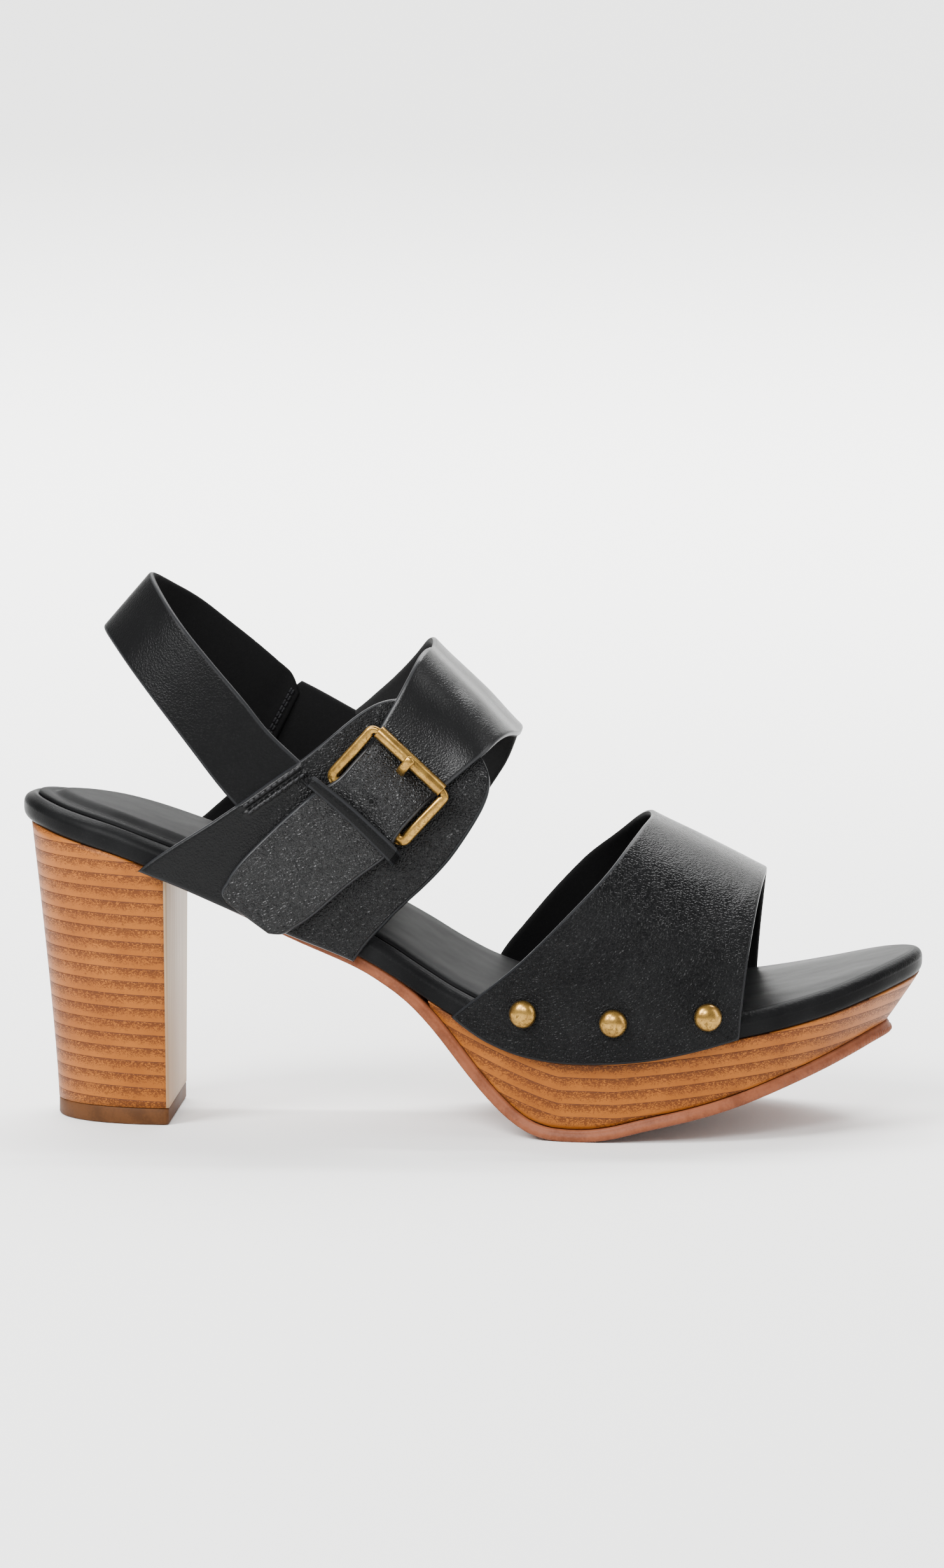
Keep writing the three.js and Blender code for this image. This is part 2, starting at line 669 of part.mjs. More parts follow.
function slingSheet() {
  const column = (name) => trackByRow(slingRows, name);
  const edges = ["low", "top"].map((name) => ({
    share: column(name),
    rise: column(name + "Rise"),
    side: column(name + "Side"),
  }));
  const point = (edge, v) => {
    const share = edge.share(v);
    const x = share * footbedLength;
    const y = middle(share) + (edge.side(v) * seatWidth) / 2;
    return new THREE.Vector3(x, y, underside(x, 0) + edge.rise(v) * slingRise);
  };
  return (u, v) => point(edges[0], v).lerp(point(edges[1], v), u);
}

// Axes across the strap, along it towards the instep, and out from the foot.
function buckleAxes(hidden, roller) {
  const along = middleOf(roller).sub(middleOf(hidden)).normalize();
  const across = roller[1].clone().sub(roller[0]).add(hidden[1]).sub(hidden[0]);
  across.addScaledVector(along, -across.dot(along)).normalize();
  return { across, along, out: across.clone().cross(along) };
}

// The hidden bar rests on the quarter and the roller on the band, so the buckle is tipped.
function buckleFrame() {
  const corner = (name) => lastPoint(buckleCorners[name].share, buckleCorners[name].turn, layerLift);
  const hidden = [corner("hiddenTop"), corner("hiddenLow")];
  const roller = [corner("rollerTop"), corner("rollerLow")];
  const { out } = buckleAxes(hidden, roller);
  const barStand = clearance + buckleBarThickness / 2;
  const rollerStand = layerLift + 2 * clearance + rollerDiameter / 2;
  for (const end of hidden) end.addScaledVector(out, barStand);
  for (const end of roller) end.addScaledVector(out, rollerStand);
  const centre = middleOf([middleOf(hidden), middleOf(roller)]);
  return { centre, ...buckleAxes(hidden, roller) };
}

const buckle = buckleFrame();

const buckleTurn = new THREE.Quaternion().setFromRotationMatrix(
  new THREE.Matrix4().makeBasis(buckle.across, buckle.along, buckle.out),
);

const rollerPlace = buckleAlong / 2 - buckleBarWidth / 2;

// The wire frame in its own plane: round corners, and a thin pin inside the roller.
function makeBuckleFrame() {
  const halfAcross = (buckleAcross - buckleBarWidth) / 2;
  const halfAlong = (buckleAlong - buckleBarWidth) / 2;
  const radius = buckleCornerRadius - buckleBarWidth / 2;
  const pin = rollerDiameter - 1.8;
  const stations = [];
  const corners = [
    [1, 1, 0],
    [-1, 1, 1],
    [-1, -1, 2],
    [1, -1, 3],
  ];
  for (const [right, ahead, quarter] of corners) {
    const steps = 4;
    for (let k = 0; k <= steps; k += 1) {
      const angle = (Math.PI / 2) * (quarter + k / steps);
      const side = new THREE.Vector3(Math.cos(angle), Math.sin(angle), 0);
      const onPin = ahead > 0 ? lerp(0.4, 1, side.y) : 0;
      const width = lerp(buckleBarWidth, pin, onPin);
      stations.push({
        at: new THREE.Vector3(
          right * (halfAcross - radius) + side.x * (buckleCornerRadius - width / 2),
          ahead * (halfAlong - radius) + side.y * radius,
          0,
        ),
        side,
        up: new THREE.Vector3(0, 0, 1),
        width,
        height: lerp(buckleBarThickness, pin, onPin),
      });
    }
  }
  return bar(stations, true);
}

// The roller is a sleeve that turns on the frame's pin.
function makeRoller() {
  const inner = rollerDiameter / 2 - 0.55;
  const outer = rollerDiameter / 2;
  const half = rollerLength / 2;
  const profile = [
    [inner, -half],
    [outer, -half],
    [outer, half],
    [inner, half],
    [inner, -half],
  ].map(([radius, height]) => new THREE.Vector2(radius, height));
  const sleeve = new THREE.LatheGeometry(profile, 14);
  sleeve.rotateZ(Math.PI / 2);
  return sleeve;
}

// The prong starts at the hidden bar, comes up through the band's hole and rests over the roller:
// places along the buckle, and out from its plane.
const prongRows = [
  { along: -6.3, out: -0.4 },
  { along: -3, out: -1.2 },
  { along: 0, out: -1.75 },
  { along: 2, out: -1.7 },
  { along: 3.5, out: -0.95 },
  { along: 4.9, out: 0.4 },
  { along: 6.2, out: 1.9 },
  { along: 7.6, out: 2.85 },
  { along: 9, out: 3.1 },
  { along: 10.7, out: 2.65 },
];

function makeProng() {
  const points = prongRows.map(({ along, out }) => new THREE.Vector3(0, along, out));
  const path = new THREE.CatmullRomCurve3(points);
  const steps = 18;
  const side = new THREE.Vector3(1, 0, 0);
  const stations = Array.from({ length: steps + 1 }, (_, k) => ({
    at: path.getPointAt(k / steps),
    side,
    up: side.clone().cross(path.getTangentAt(k / steps)),
    width: prongWidth,
    height: prongThickness,
  }));
  return bar(stations, false);
}

// The hole in the band that the prong comes through.
function prongSlot() {
  const depth = 12;
  const slot = new THREE.BoxGeometry(prongWidth + 2 * clearance, prongSlotLength, depth);
  slot.deleteAttribute("normal");
  slot.deleteAttribute("uv");
  slot.translate(0, prongSlotPlace, 0);
  slot.applyQuaternion(buckleTurn);
  slot.translate(buckle.centre.x, buckle.centre.y, buckle.centre.z);
  return mergeVertices(slot);
}

// Quarters, sling and band are one upper, joined where they cross.
function makeAnkleUpper() {
  const band = toSolid(wall(strapSheet(bandRows), 6, 56, strapThickness));
  return toGeometry(
    band
      .subtract(toSolid(prongSlot()))
      .add(toSolid(wall(strapSheet(innerQuarterRows), 10, 14, strapThickness)))
      .add(toSolid(wall(slingSheet(), 4, 40, strapThickness)))
      .add(toSolid(wall(strapSheet(outerQuarterRows), 10, 24, strapThickness))),
  );
}

function makeKeeper() {
  const spot = (corner) => new THREE.Vector2(corner.share, corner.turn);
  const edge = (top, low, place) => spot(keeperCorners[top]).lerp(spot(keeperCorners[low]), place);
  const column = (name) => keeperRows.map((row) => row[name]);
  const steps = keeperRows.length - 1;
  const sheet = (u, v) => {
    const at = Math.min(Math.floor(v * steps), steps - 1);
    const part = v * steps - at;
    const value = (name) => lerp(column(name)[at], column(name)[at + 1], part);
    const back = edge("backTop", "backLow", value("place"));
    const front = edge("frontTop", "frontLow", value("place"));
    const lift = layerLift + lerp(value("back"), value("front"), u);
    return lastPoint(lerp(back.x, front.x, u), lerp(back.y, front.y, u), lift);
  };
  return wall((u, v) => sheet(1 - u, v), 2, steps * 3, keeperThickness);
}

function makeStudDome() {
  const rounds = 6;
  const profile = [new THREE.Vector2(0, 0), new THREE.Vector2(studDiameter / 2 - 0.3, 0)];
  for (let k = 0; k <= rounds; k += 1) {
    const angle = (Math.PI / 2) * (k / rounds);
    profile.push(new THREE.Vector2((studDiameter / 2) * Math.cos(angle), 0.4 + (studHeight - 0.4) * Math.sin(angle)));
  }
  return new THREE.LatheGeometry(profile, 14);
}

const blackLeather = new THREE.MeshStandardMaterial({ color: 0x1c1c1d, roughness: 0.5 });
const stackedWood = new THREE.MeshStandardMaterial({ color: 0xc88a4a, roughness: 0.55 });
const soleBrown = new THREE.MeshStandardMaterial({ color: 0xa4633f, roughness: 0.6 });
const tipBrown = new THREE.MeshStandardMaterial({ color: 0x7b5030, roughness: 0.6 });
const agedBrass = new THREE.MeshStandardMaterial({ color: 0xa98747, roughness: 0.35, metalness: 1 });

const shoe = new THREE.Group();

function place(name, geometry, material, position, quaternion) {
  const mesh = new THREE.Mesh(geometry, material);
  mesh.name = name;
  if (position) mesh.position.copy(position);
  if (quaternion) mesh.quaternion.copy(quaternion);
  shoe.add(mesh);
}

place("heel_tip", makeHeelTip(), tipBrown);
place("heel_block", makeHeelBlock(), stackedWood);
place("outsole", makeOutsole(), soleBrown);
place("platform", makePlatform(), stackedWood);
place("footbed", makeFootbed(), blackLeather);
place("sock", makeSock(), blackLeather);
place("vamp_strap", makeVampStrap(), blackLeather);
place("ankle_upper", makeAnkleUpper(), blackLeather);
place("keeper", makeKeeper(), blackLeather);
place("buckle_frame", makeBuckleFrame(), agedBrass, buckle.centre, buckleTurn);
const rollerAt = buckle.centre.clone().addScaledVector(buckle.along, rollerPlace);
place("buckle_roller", makeRoller(), agedBrass, rollerAt, buckleTurn);
place("buckle_prong", makeProng(), agedBrass, buckle.centre, buckleTurn);

for (const [side, mirrored] of [["outer", false], ["inner", true]]) {
  studPlaces.forEach(({ share, turn }, i) => {
    const at = mirrored ? 2 - turn : turn;
    const lift = layerLift + clearance;
    const point = lastPoint(share, at, lift);
    const ahead = lastPoint(share + 0.004, at, lift).sub(point);
    const up = lastPoint(share, at + 0.01, lift).sub(point);
    const out = ahead.cross(up).normalize();
    const turned = new THREE.Quaternion().setFromUnitVectors(new THREE.Vector3(0, 1, 0), out);
    place(`stud_${side}_${i + 1}`, makeStudDome(), agedBrass, point, turned);
  });
}

// The shoe stands on the floor with the middle of its box over the origin.
shoe.updateMatrixWorld(true);
const box = new THREE.Box3().setFromObject(shoe, true);
const centre = box.getCenter(new THREE.Vector3());
shoe.position.set(-centre.x, -centre.y, -box.min.z);

const model = new THREE.Group();
model.add(shoe);

export default model;
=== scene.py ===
import math

import bpy
import numpy as np
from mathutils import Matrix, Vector


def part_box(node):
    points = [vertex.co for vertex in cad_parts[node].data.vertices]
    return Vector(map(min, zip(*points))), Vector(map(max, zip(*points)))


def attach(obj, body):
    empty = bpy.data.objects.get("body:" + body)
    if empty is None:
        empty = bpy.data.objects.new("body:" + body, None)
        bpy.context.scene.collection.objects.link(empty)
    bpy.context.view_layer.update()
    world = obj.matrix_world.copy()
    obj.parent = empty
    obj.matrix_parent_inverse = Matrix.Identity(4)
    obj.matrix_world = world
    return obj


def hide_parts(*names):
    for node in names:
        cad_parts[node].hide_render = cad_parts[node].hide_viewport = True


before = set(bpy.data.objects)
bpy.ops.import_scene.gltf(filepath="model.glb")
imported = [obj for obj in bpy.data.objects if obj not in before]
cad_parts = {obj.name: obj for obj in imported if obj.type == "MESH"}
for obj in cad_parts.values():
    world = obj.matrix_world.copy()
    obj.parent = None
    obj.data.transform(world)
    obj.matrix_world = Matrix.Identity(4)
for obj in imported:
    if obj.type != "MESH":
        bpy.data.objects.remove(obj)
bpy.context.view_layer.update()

# Shapes are worked out in millimetres from the back of the footbed, on the floor, and moved into the frame
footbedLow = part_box("footbed")[0]
tipLow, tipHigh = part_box("heel_tip")
home = np.array([footbedLow.x, (tipLow.y + tipHigh.y) / 2, 0.0])

shoe = {
    "length": 246.0,
    "ballWidth": 86.0,
    "seatWidth": 62.8,
    "heelHeight": 82.3,  # floor to the footbed's underside at the back
    "ballHeight": 25.8,
    "toeSpring": 14.8,
    "ballSkew": 0.12,
    "footbed": 7.0,
    "instep": 90.0,
    "strap": 1.8,  # leather's thickness
    "gap": 0.3,
    "vampCover": 4.0,
    "slingRise": 76.7,
    "outsole": 3.2,
    "outsoleMargin": 1.8,
    "platformMargin": 0.8,
    "platformDraft": 2.4,
    "toeDraft": 6.2,
    "outsoleToeRise": 24.6,
    "heelTip": 4.8,
    "heelTopWidth": 55.6,
    "heelTipWidth": 45.0,
    "heelTopBack": 2.2,
    "heelBottomBack": 9.3,
    "breast": 42.0,
}
layerLift = shoe["strap"] + shoe["gap"]


# A smooth curve through (place, value) points that never overshoots them: cubic pieces whose slopes are the
# weighted harmonic means of the neighbouring chords' slopes
def curve(places, values):
    p, v = np.array(places, float), np.array(values, float)
    step = np.diff(p)
    rise = np.diff(v) / step
    slope = np.empty_like(v)
    slope[0], slope[-1] = rise[0], rise[-1]
    before, after = 2 * step[1:] + step[:-1], step[1:] + 2 * step[:-1]
    same = rise[:-1] * rise[1:] > 0
    left, right = np.where(same, rise[:-1], 1), np.where(same, rise[1:], 1)
    slope[1:-1] = np.where(same, (before + after) / (before / left + after / right), 0)

    def at(place):
        x = np.clip(place, p[0], p[-1])
        i = np.clip(np.searchsorted(p, x, side="right") - 1, 0, len(step) - 1)
        t = (x - p[i]) / step[i]
        ends = v[i] * (1 + 2 * t) * (1 - t) ** 2 + v[i + 1] * t * t * (3 - 2 * t)
        return ends + step[i] * t * (1 - t) * (slope[i] * (1 - t) - slope[i + 1] * t)

    return at


# The mean of a curve over a window of the given width either side, which narrows to nothing at its ends
def eased(line, width):
    def at(v):
        reach = np.minimum(width, np.minimum(v, 1 - v))
        return sum(line(v + k * reach) for k in np.linspace(-1, 1, 9)) / 9

    return at


def smooth(low, high, x):
    t = np.clip((x - low) / (high - low), 0, 1)
    return t * t * (3 - 2 * t)


def lerp(a, b, t):
    return a + (b - a) * t


def bump(middle, width, x):
    return np.exp(-(((x - middle) / width) ** 2))


def bend(share):
    return np.arccos(np.clip(1 - 2 * np.asarray(share, float), -1, 1)) / math.pi


def unbend(q):
    return (1 - np.cos(math.pi * np.clip(q, 0, 1))) / 2


# share of the length, half width as a share of half the local width, shift of the middle as a share of the ball
outlineRows = [
    (0, 0, 0), (0.02, 0.414, 0), (0.05, 0.653, 0), (0.1, 0.86, 0), (0.16, 0.978, 0), (0.22, 1, -0.002),
    (0.3, 0.955, -0.012), (0.4, 0.843, -0.029), (0.48, 0.789, -0.037), (0.55, 0.831, -0.035),
    (0.62, 0.919, -0.023), (0.68, 0.981, -0.008), (0.74, 1, 0.006), (0.8, 0.958, 0.021), (0.86, 0.865, 0.038),
    (0.91, 0.733, 0.058), (0.95, 0.551, 0.079), (0.98, 0.337, 0.099), (1, 0, 0.116),
]
# share of the length, share of the climb from ball to heel, share of the toe spring
profileRows = [
    (0, 1, 0), (0.052, 0.94, 0), (0.109, 0.88, 0), (0.171, 0.791, 0), (0.244, 0.669, 0), (0.325, 0.533, 0),
    (0.396, 0.411, 0), (0.434, 0.322, 0), (0.476, 0.207, 0), (0.508, 0.127, 0), (0.549, 0.053, 0),
    (0.598, 0.011, 0), (0.642, 0, 0), (0.691, 0, 0.007), (0.752, 0, 0.081), (0.811, 0, 0.209),
    (0.892, 0, 0.486), (0.967, 0, 0.845), (1, 0, 1),
]
# share of the length, share of the height left under the footbed, share of the outsole's rise at the toe
treadRows = [
    (0.16, 1, 0), (0.4, 1, 0), (0.437, 0.975, 0), (0.46, 0.94, 0), (0.48, 0.82, 0), (0.505, 0.63, 0),
    (0.533, 0.39, 0), (0.56, 0.15, 0), (0.578, 0.045, 0), (0.6, 0, 0), (0.645, 0, 0), (0.695, 0, 0.12),
    (0.783, 0, 0.329), (0.87, 0, 0.634), (0.97, 0, 1),
]
# share of the length, the last's ridge as a share of the instep's height
lastRows = [
    (0, 1.3), (0.244, 1.249), (0.407, 1.067), (0.464, 1.004), (0.511, 0.956), (0.559, 0.869), (0.63, 0.762),
    (0.704, 0.644), (0.768, 0.541), (0.83, 0.427), (1, 0.082),
]


def column(rows, i, bent=False):
    places = [row[0] for row in rows]
    return curve(bend(places) if bent else places, [row[i] for row in rows])


outlineHalf, outlineShift = column(outlineRows, 1, True), column(outlineRows, 2, True)
climbShare, springShare = column(profileRows, 1), column(profileRows, 2)
treadUnder, treadRise = (eased(column(treadRows, i), 0.026) for i in (1, 2))
lastHeight = column(lastRows, 1)


def halfWidth(share):
    return lerp(shoe["seatWidth"], shoe["ballWidth"], smooth(0.3, 0.6, share)) / 2 * outlineHalf(bend(share))


def middle(share):
    return shoe["ballWidth"] * outlineShift(bend(share))


# The footbed's underside: ball height + climb to the heel + toe spring, with the ball line skewed across
def underside(x, y):
    share = np.clip(x / shoe["length"], 0, 1)
    skewed = smooth(0.16, 0.36, share) * (1 - smooth(0.55, 0.71, share))
    at = share - shoe["ballSkew"] * skewed * y / shoe["length"]
    return lerp(shoe["ballHeight"], shoe["heelHeight"], climbShare(at)) + shoe["toeSpring"] * springShare(at)


# A point over the last: |y/half|^p + |z/height|^p = 1 over the footbed, with turn 0 at the outer edge, 1 at the
# ridge and 2 at the inner edge; below the edges the surface goes straight down
def lastPoint(share, turn, lift):
    share, turn, lift = np.broadcast_arrays(share, turn, lift)
    angle = math.pi / 2 * np.clip(turn, 0, 2)
    power = lerp(3.2, 2.4, smooth(0.55, 0.67, share))
    reach = (np.abs(np.cos(angle)) ** power + np.abs(np.sin(angle)) ** power) ** (-1 / power)
    x = share * shoe["length"]
    y = middle(share) - (halfWidth(share) + lift) * reach * np.cos(angle)
    height = shoe["instep"] * lastHeight(share) + lift - layerLift
    below = np.minimum(turn, 0) - np.maximum(turn - 2, 0)
    z = underside(x, y) + height * (reach * np.sin(angle) + math.pi / 2 * below)
    return np.stack([x, y, z], -1)


def unit(v):
    return v / np.maximum(np.linalg.norm(v, axis=-1, keepdims=True), 1e-9)


def gridNormals(points):
    return unit(np.cross(np.gradient(points, axis=1), np.gradient(points, axis=0)))


def gridFaces(index, closed=False):
    a = np.concatenate([index, index[:, :1]], 1) if closed else index
    quads = np.stack([a[:-1, :-1], a[:-1, 1:], a[1:, 1:], a[1:, :-1]], -1)
    return quads.reshape(-1, 4)


# One smooth mesh from points in millimetres and four-sided faces; facts are numbers that the materials read
def meshPiece(name, points, faces, material, replaced=(), facts=None, smoothed=True):
    mesh = bpy.data.meshes.new(name)
    vertices = points.reshape(-1, 3) / 1000 + home
    quads = faces[[len(set(face)) == 4 for face in faces.tolist()]]
    corners = vertices[quads]
    volume = np.einsum("ij,ij->i", corners[:, 0], np.cross(corners[:, 1], corners[:, 2]))
    volume += np.einsum("ij,ij->i", corners[:, 0], np.cross(corners[:, 2], corners[:, 3]))
    quads = quads[:, ::-1] if volume.sum() < 0 else quads
    mesh.from_pydata(vertices.tolist(), [], quads.tolist())
    for key, values in (facts or {}).items():
        attribute = mesh.attributes.new(key, "FLOAT", "POINT")
        attribute.data.foreach_set("value", np.asarray(values, np.float32).ravel())
    mesh.polygons.foreach_set("use_smooth", [smoothed] * len(mesh.polygons))
    mesh.materials.append(material)
    mesh.update()
    piece = bpy.data.objects.new(name, mesh)
    bpy.context.scene.collection.objects.link(piece)
    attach(piece, "root")
    for node in replaced:
        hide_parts(node)
    return piece


# Positions from 0 to 1 that crowd near both ends, where a strap's edge rolls over
def crowded(count, edge):
    ends = np.array([0, 0.12, 0.35, 0.68, 1]) * edge
    return np.concatenate([ends, np.linspace(edge, 1 - edge, count)[1:-1], 1 - ends[::-1]])


def alongRow(points, axis):
    step = np.linalg.norm(np.diff(points, axis=axis), axis=-1)
    start = np.zeros_like(np.take(step, [0], axis))
    return np.concatenate([start, np.cumsum(step, axis)], axis)


# A leather strap from a sheet(u, v) that gives its outer face. Both faces drop by r - sqrt(r^2 - (r - e)^2) within
# r of the edge, with e the distance to the nearest edge, so that the edge is a half round
def strapPiece(name, sheet, material, replaced, across, along, relief=None, facts=None, thickness=shoe["strap"]):
    roll = thickness / 2
    u, v = crowded(across, 0.05), crowded(along, 0.02)
    acrossGrid, alongGrid = np.meshgrid(u, v)
    points = sheet(acrossGrid, alongGrid)
    normal = gridNormals(points)
    fromBack, fromStart = alongRow(points, 1), alongRow(points, 0)
    nearSide = np.minimum(fromBack, fromBack[:, -1:] - fromBack)
    edge = np.minimum(nearSide, np.minimum(fromStart, fromStart[-1:] - fromStart))
    drop = roll - np.sqrt(np.maximum(roll**2 - (roll - np.minimum(edge, roll)) ** 2, 0))
    raised = 0 if relief is None else relief(acrossGrid, alongGrid, points) * smooth(0, 3, edge)
    outer = points + normal * (raised - drop)[..., None]
    inner = points + normal * (raised * 0.6 - thickness + drop)[..., None]
    rows, columns = edge.shape
    outerIndex = np.arange(edge.size).reshape(rows, columns)
    innerIndex = outerIndex + edge.size
    quads = [gridFaces(outerIndex), gridFaces(innerIndex)[:, ::-1]]
    rim = np.concatenate([outerIndex[0], outerIndex[1:, -1], outerIndex[-1, -2::-1], outerIndex[-2:0:-1, 0]])
    rimPair = np.stack([np.append(rim, rim[0]), np.append(rim, rim[0]) + edge.size])
    quads.append(gridFaces(rimPair)[:, ::-1])
    values = {
        "edge": np.tile(edge.ravel(), 2),
        "inside": np.repeat([0.0, 1.0], edge.size),
        "across": np.tile(fromBack.ravel(), 2),
        "along": np.tile(fromStart.ravel(), 2),
    }
    for key, fact in (facts or {}).items():
        values[key] = np.tile(fact(acrossGrid, alongGrid, points).ravel(), 2)
    both = np.concatenate([outer.reshape(-1, 3), inner.reshape(-1, 3)])
    piece = meshPiece(name, both, np.concatenate(quads), material, replaced, values)
    weldSeams(piece)
    return piece


def weldSeams(piece):
    weld = piece.modifiers.new("weld", "WELD")
    weld.merge_threshold = 0.00001


# Straps lie on the last between the back and front edges that a table gives: back share, back turn, front share,
# front turn and, where the strap lies over others, the number of walls under it
def strapSheet(rows):
    places = np.arange(len(rows)) / (len(rows) - 1)
    columns = [curve(places, [row[i] if i < len(row) else 0 for row in rows]) for i in range(5)]
    back, backTurn, front, frontTurn = (eased(line, 1.3 / len(rows)) for line in columns[:4])
    layer = columns[4]

    def sheet(u, v):
        share, turn = lerp(back(v), front(v), u), lerp(backTurn(v), frontTurn(v), u)
        return lastPoint(share, turn, layerLift * (1 + layer(v)))

    return sheet


vampRows = [
    (0.488, 0, 0.808, 0), (0.519, 0.075, 0.81, 0.075), (0.57, 0.19, 0.812, 0.18), (0.623, 0.317, 0.816, 0.31),
    (0.67, 0.494, 0.822, 0.499), (0.7, 0.734, 0.828, 0.72), (0.704, 1, 0.83, 1), (0.7, 1.27, 0.827, 1.27),
    (0.665, 1.476, 0.821, 1.5), (0.615, 1.652, 0.815, 1.68), (0.574, 1.77, 0.811, 1.81),
    (0.534, 1.898, 0.81, 1.91), (0.51, 2, 0.808, 2),
]
outerQuarterRows = [
    (0.14, -0.01, 0.38, -0.01), (0.171, 0.038, 0.409, 0.077), (0.203, 0.082, 0.439, 0.155),
    (0.231, 0.121, 0.466, 0.232), (0.253, 0.16, 0.485, 0.285), (0.29, 0.215, 0.498, 0.33),
    (0.326, 0.28, 0.512, 0.385), (0.352, 0.331, 0.525, 0.438), (0.377, 0.388, 0.531, 0.484),
    (0.408, 0.465, 0.533, 0.53), (0.428, 0.508, 0.526, 0.551), (0.445, 0.53, 0.512, 0.556),
]
innerQuarterRows = [
    (0.3, 1.682, 0.505, 1.65), (0.272, 1.735, 0.496, 1.69), (0.256, 1.8, 0.485, 1.73),
    (0.239, 1.862, 0.466, 1.785), (0.217, 1.905, 0.439, 1.855), (0.186, 1.95, 0.409, 1.93),
    (0.155, 2.01, 0.385, 2.01),
]
bandRows = [
    (0.241, 0.002, 0.287, -0.018, 1.1), (0.232, 0.02, 0.31, -0.006, 1.1), (0.244, 0.05, 0.333, 0.03, 1.05),
    (0.284, 0.13, 0.372, 0.11, 1.05), (0.318, 0.197, 0.4, 0.173, 1.25), (0.332, 0.224, 0.413, 0.194, 1.45),
    (0.341, 0.239, 0.42, 0.212, 2.05), (0.351, 0.252, 0.424, 0.23, 2.4), (0.362, 0.266, 0.428, 0.249, 2.6),
    (0.37, 0.286, 0.436, 0.272, 2.52), (0.381, 0.315, 0.447, 0.306, 2.25), (0.392, 0.347, 0.459, 0.341, 1.8),
    (0.402, 0.378, 0.469, 0.374, 1.3), (0.408, 0.41, 0.482, 0.408, 1), (0.418, 0.445, 0.491, 0.442, 1),
    (0.433, 0.511, 0.512, 0.497, 1), (0.447, 0.612, 0.533, 0.576, 1), (0.458, 0.766, 0.552, 0.73, 0.6),
    (0.462, 1, 0.561, 1, 0), (0.459, 1.25, 0.558, 1.25, 0), (0.444, 1.448, 0.545, 1.468, 0),
    (0.414, 1.557, 0.53, 1.55, 0), (0.371, 1.648, 0.515, 1.611, 0), (0.333, 1.74, 0.498, 1.69, 0),
]
# low edge's share, its rise as a share of the sling's, its side as a share of half the seat; then the top edge's
slingRows = [
    (0.258, 0.326, -1.006, 0.331, 0.58, -0.969), (0.229, 0.392, -0.964, 0.286, 0.656, -0.947),
    (0.197, 0.478, -0.899, 0.257, 0.73, -0.901), (0.164, 0.565, -0.79, 0.22, 0.812, -0.8),
    (0.134, 0.641, -0.621, 0.188, 0.883, -0.651), (0.11, 0.701, -0.398, 0.163, 0.946, -0.414),
    (0.089, 0.748, 0, 0.143, 1, 0), (0.11, 0.711, 0.398, 0.162, 0.966, 0.398),
    (0.136, 0.661, 0.611, 0.189, 0.931, 0.613), (0.167, 0.595, 0.764, 0.22, 0.883, 0.747),
    (0.197, 0.531, 0.862, 0.25, 0.837, 0.841), (0.222, 0.486, 0.92, 0.272, 0.799, 0.905),
    (0.244, 0.448, 0.965, 0.289, 0.764, 0.96), (0.259, 0.42, 0.985, 0.2975, 0.705, 0.972),
]


def slingSheet(u, v):
    places = np.arange(len(slingRows)) / (len(slingRows) - 1)
    columns = (curve(places, [row[i] for row in slingRows])(v) for i in range(6))
    low, lowRise, lowSide, top, topRise, topSide = columns

    def point(share, rise, side):
        x = share * shoe["length"]
        y = middle(share) + side * shoe["seatWidth"] / 2
        return np.stack([x, y, underside(x, 0 * y) + rise * shoe["slingRise"]], -1)

    return lerp(point(low, lowRise, lowSide), point(top, topRise, topSide), u[..., None])


vampSurface = strapSheet(vampRows)


# The vamp's two ends reach down over the platform between their corners: cover * sin(pi u^0.8), fading up the strap
def vampSheet(u, v):
    points = vampSurface(u, v)
    last = len(vampRows) - 1
    reach = np.maximum(0, 1 - v * last) + np.maximum(0, 1 - (1 - v) * last)
    points[..., 2] -= shoe["vampCover"] * np.sin(math.pi * u**0.8) * reach
    return points


# Outline point drawn in by a margin along the outline's normal, on the outer (-1) or inner (1) side
def outlinePoint(q, side, margin):
    def at(place):
        s = unbend(place)
        return np.stack([s * shoe["length"], middle(s) + side * halfWidth(s)], -1)

    ahead = unit(at(np.clip(q + 1e-4, 0, 1)) - at(np.clip(q - 1e-4, 0, 1)))
    inward = np.stack([ahead[..., 1], -ahead[..., 0]], -1) * side
    return at(q) + inward * np.asarray(margin)[..., None]


# Closed loops of the outline, outer side from heel to toe and inner side back
def outlineLoop(first, last, count, margin):
    q = np.linspace(bend(first), bend(last), count)
    outer = outlinePoint(q, -1, margin(unbend(q)))
    inner = outlinePoint(q, 1, margin(unbend(q)))
    return np.concatenate([outer, inner[::-1]])


# Rings joined bottom to top and closed by strips across both ends; cover(x, y) gives the height of a top that is
# more than a flat strip, on points spread evenly between the outer and the inner side of the last ring
def stackPiece(name, rings, material, replaced, facts=None, cover=None, columns=24):
    count = rings.shape[1]
    index = np.arange(rings.shape[0] * count).reshape(-1, count)
    half = np.arange(count // 2)
    cross = np.stack([half, count - 1 - half], 1)
    points = rings.reshape(-1, 3)
    values = {key: np.asarray(fact).ravel() for key, fact in (facts or {}).items()}
    top = cross + index[-1, 0]
    if cover is not None:
        across = np.linspace(0, 1, columns + 1)[1:-1, None]
        spread = lerp(points[top[:, :1]], points[top[:, 1:]], across)
        spread[..., 2] = cover(spread[..., 0], spread[..., 1])
        values = {key: np.append(fact, np.repeat(fact[top[:, 0]], columns - 1)) for key, fact in values.items()}
        added = len(points) + np.arange(half.size * (columns - 1)).reshape(half.size, -1)
        points = np.concatenate([points, spread.reshape(-1, 3)])
        top = np.column_stack([top[:, 0], added, top[:, 1]])
    quads = [gridFaces(index, True), gridFaces(cross), gridFaces(top)[:, ::-1]]
    piece = meshPiece(name, points, np.concatenate(quads), material, replaced, values)
    weldSeams(piece)
    return piece


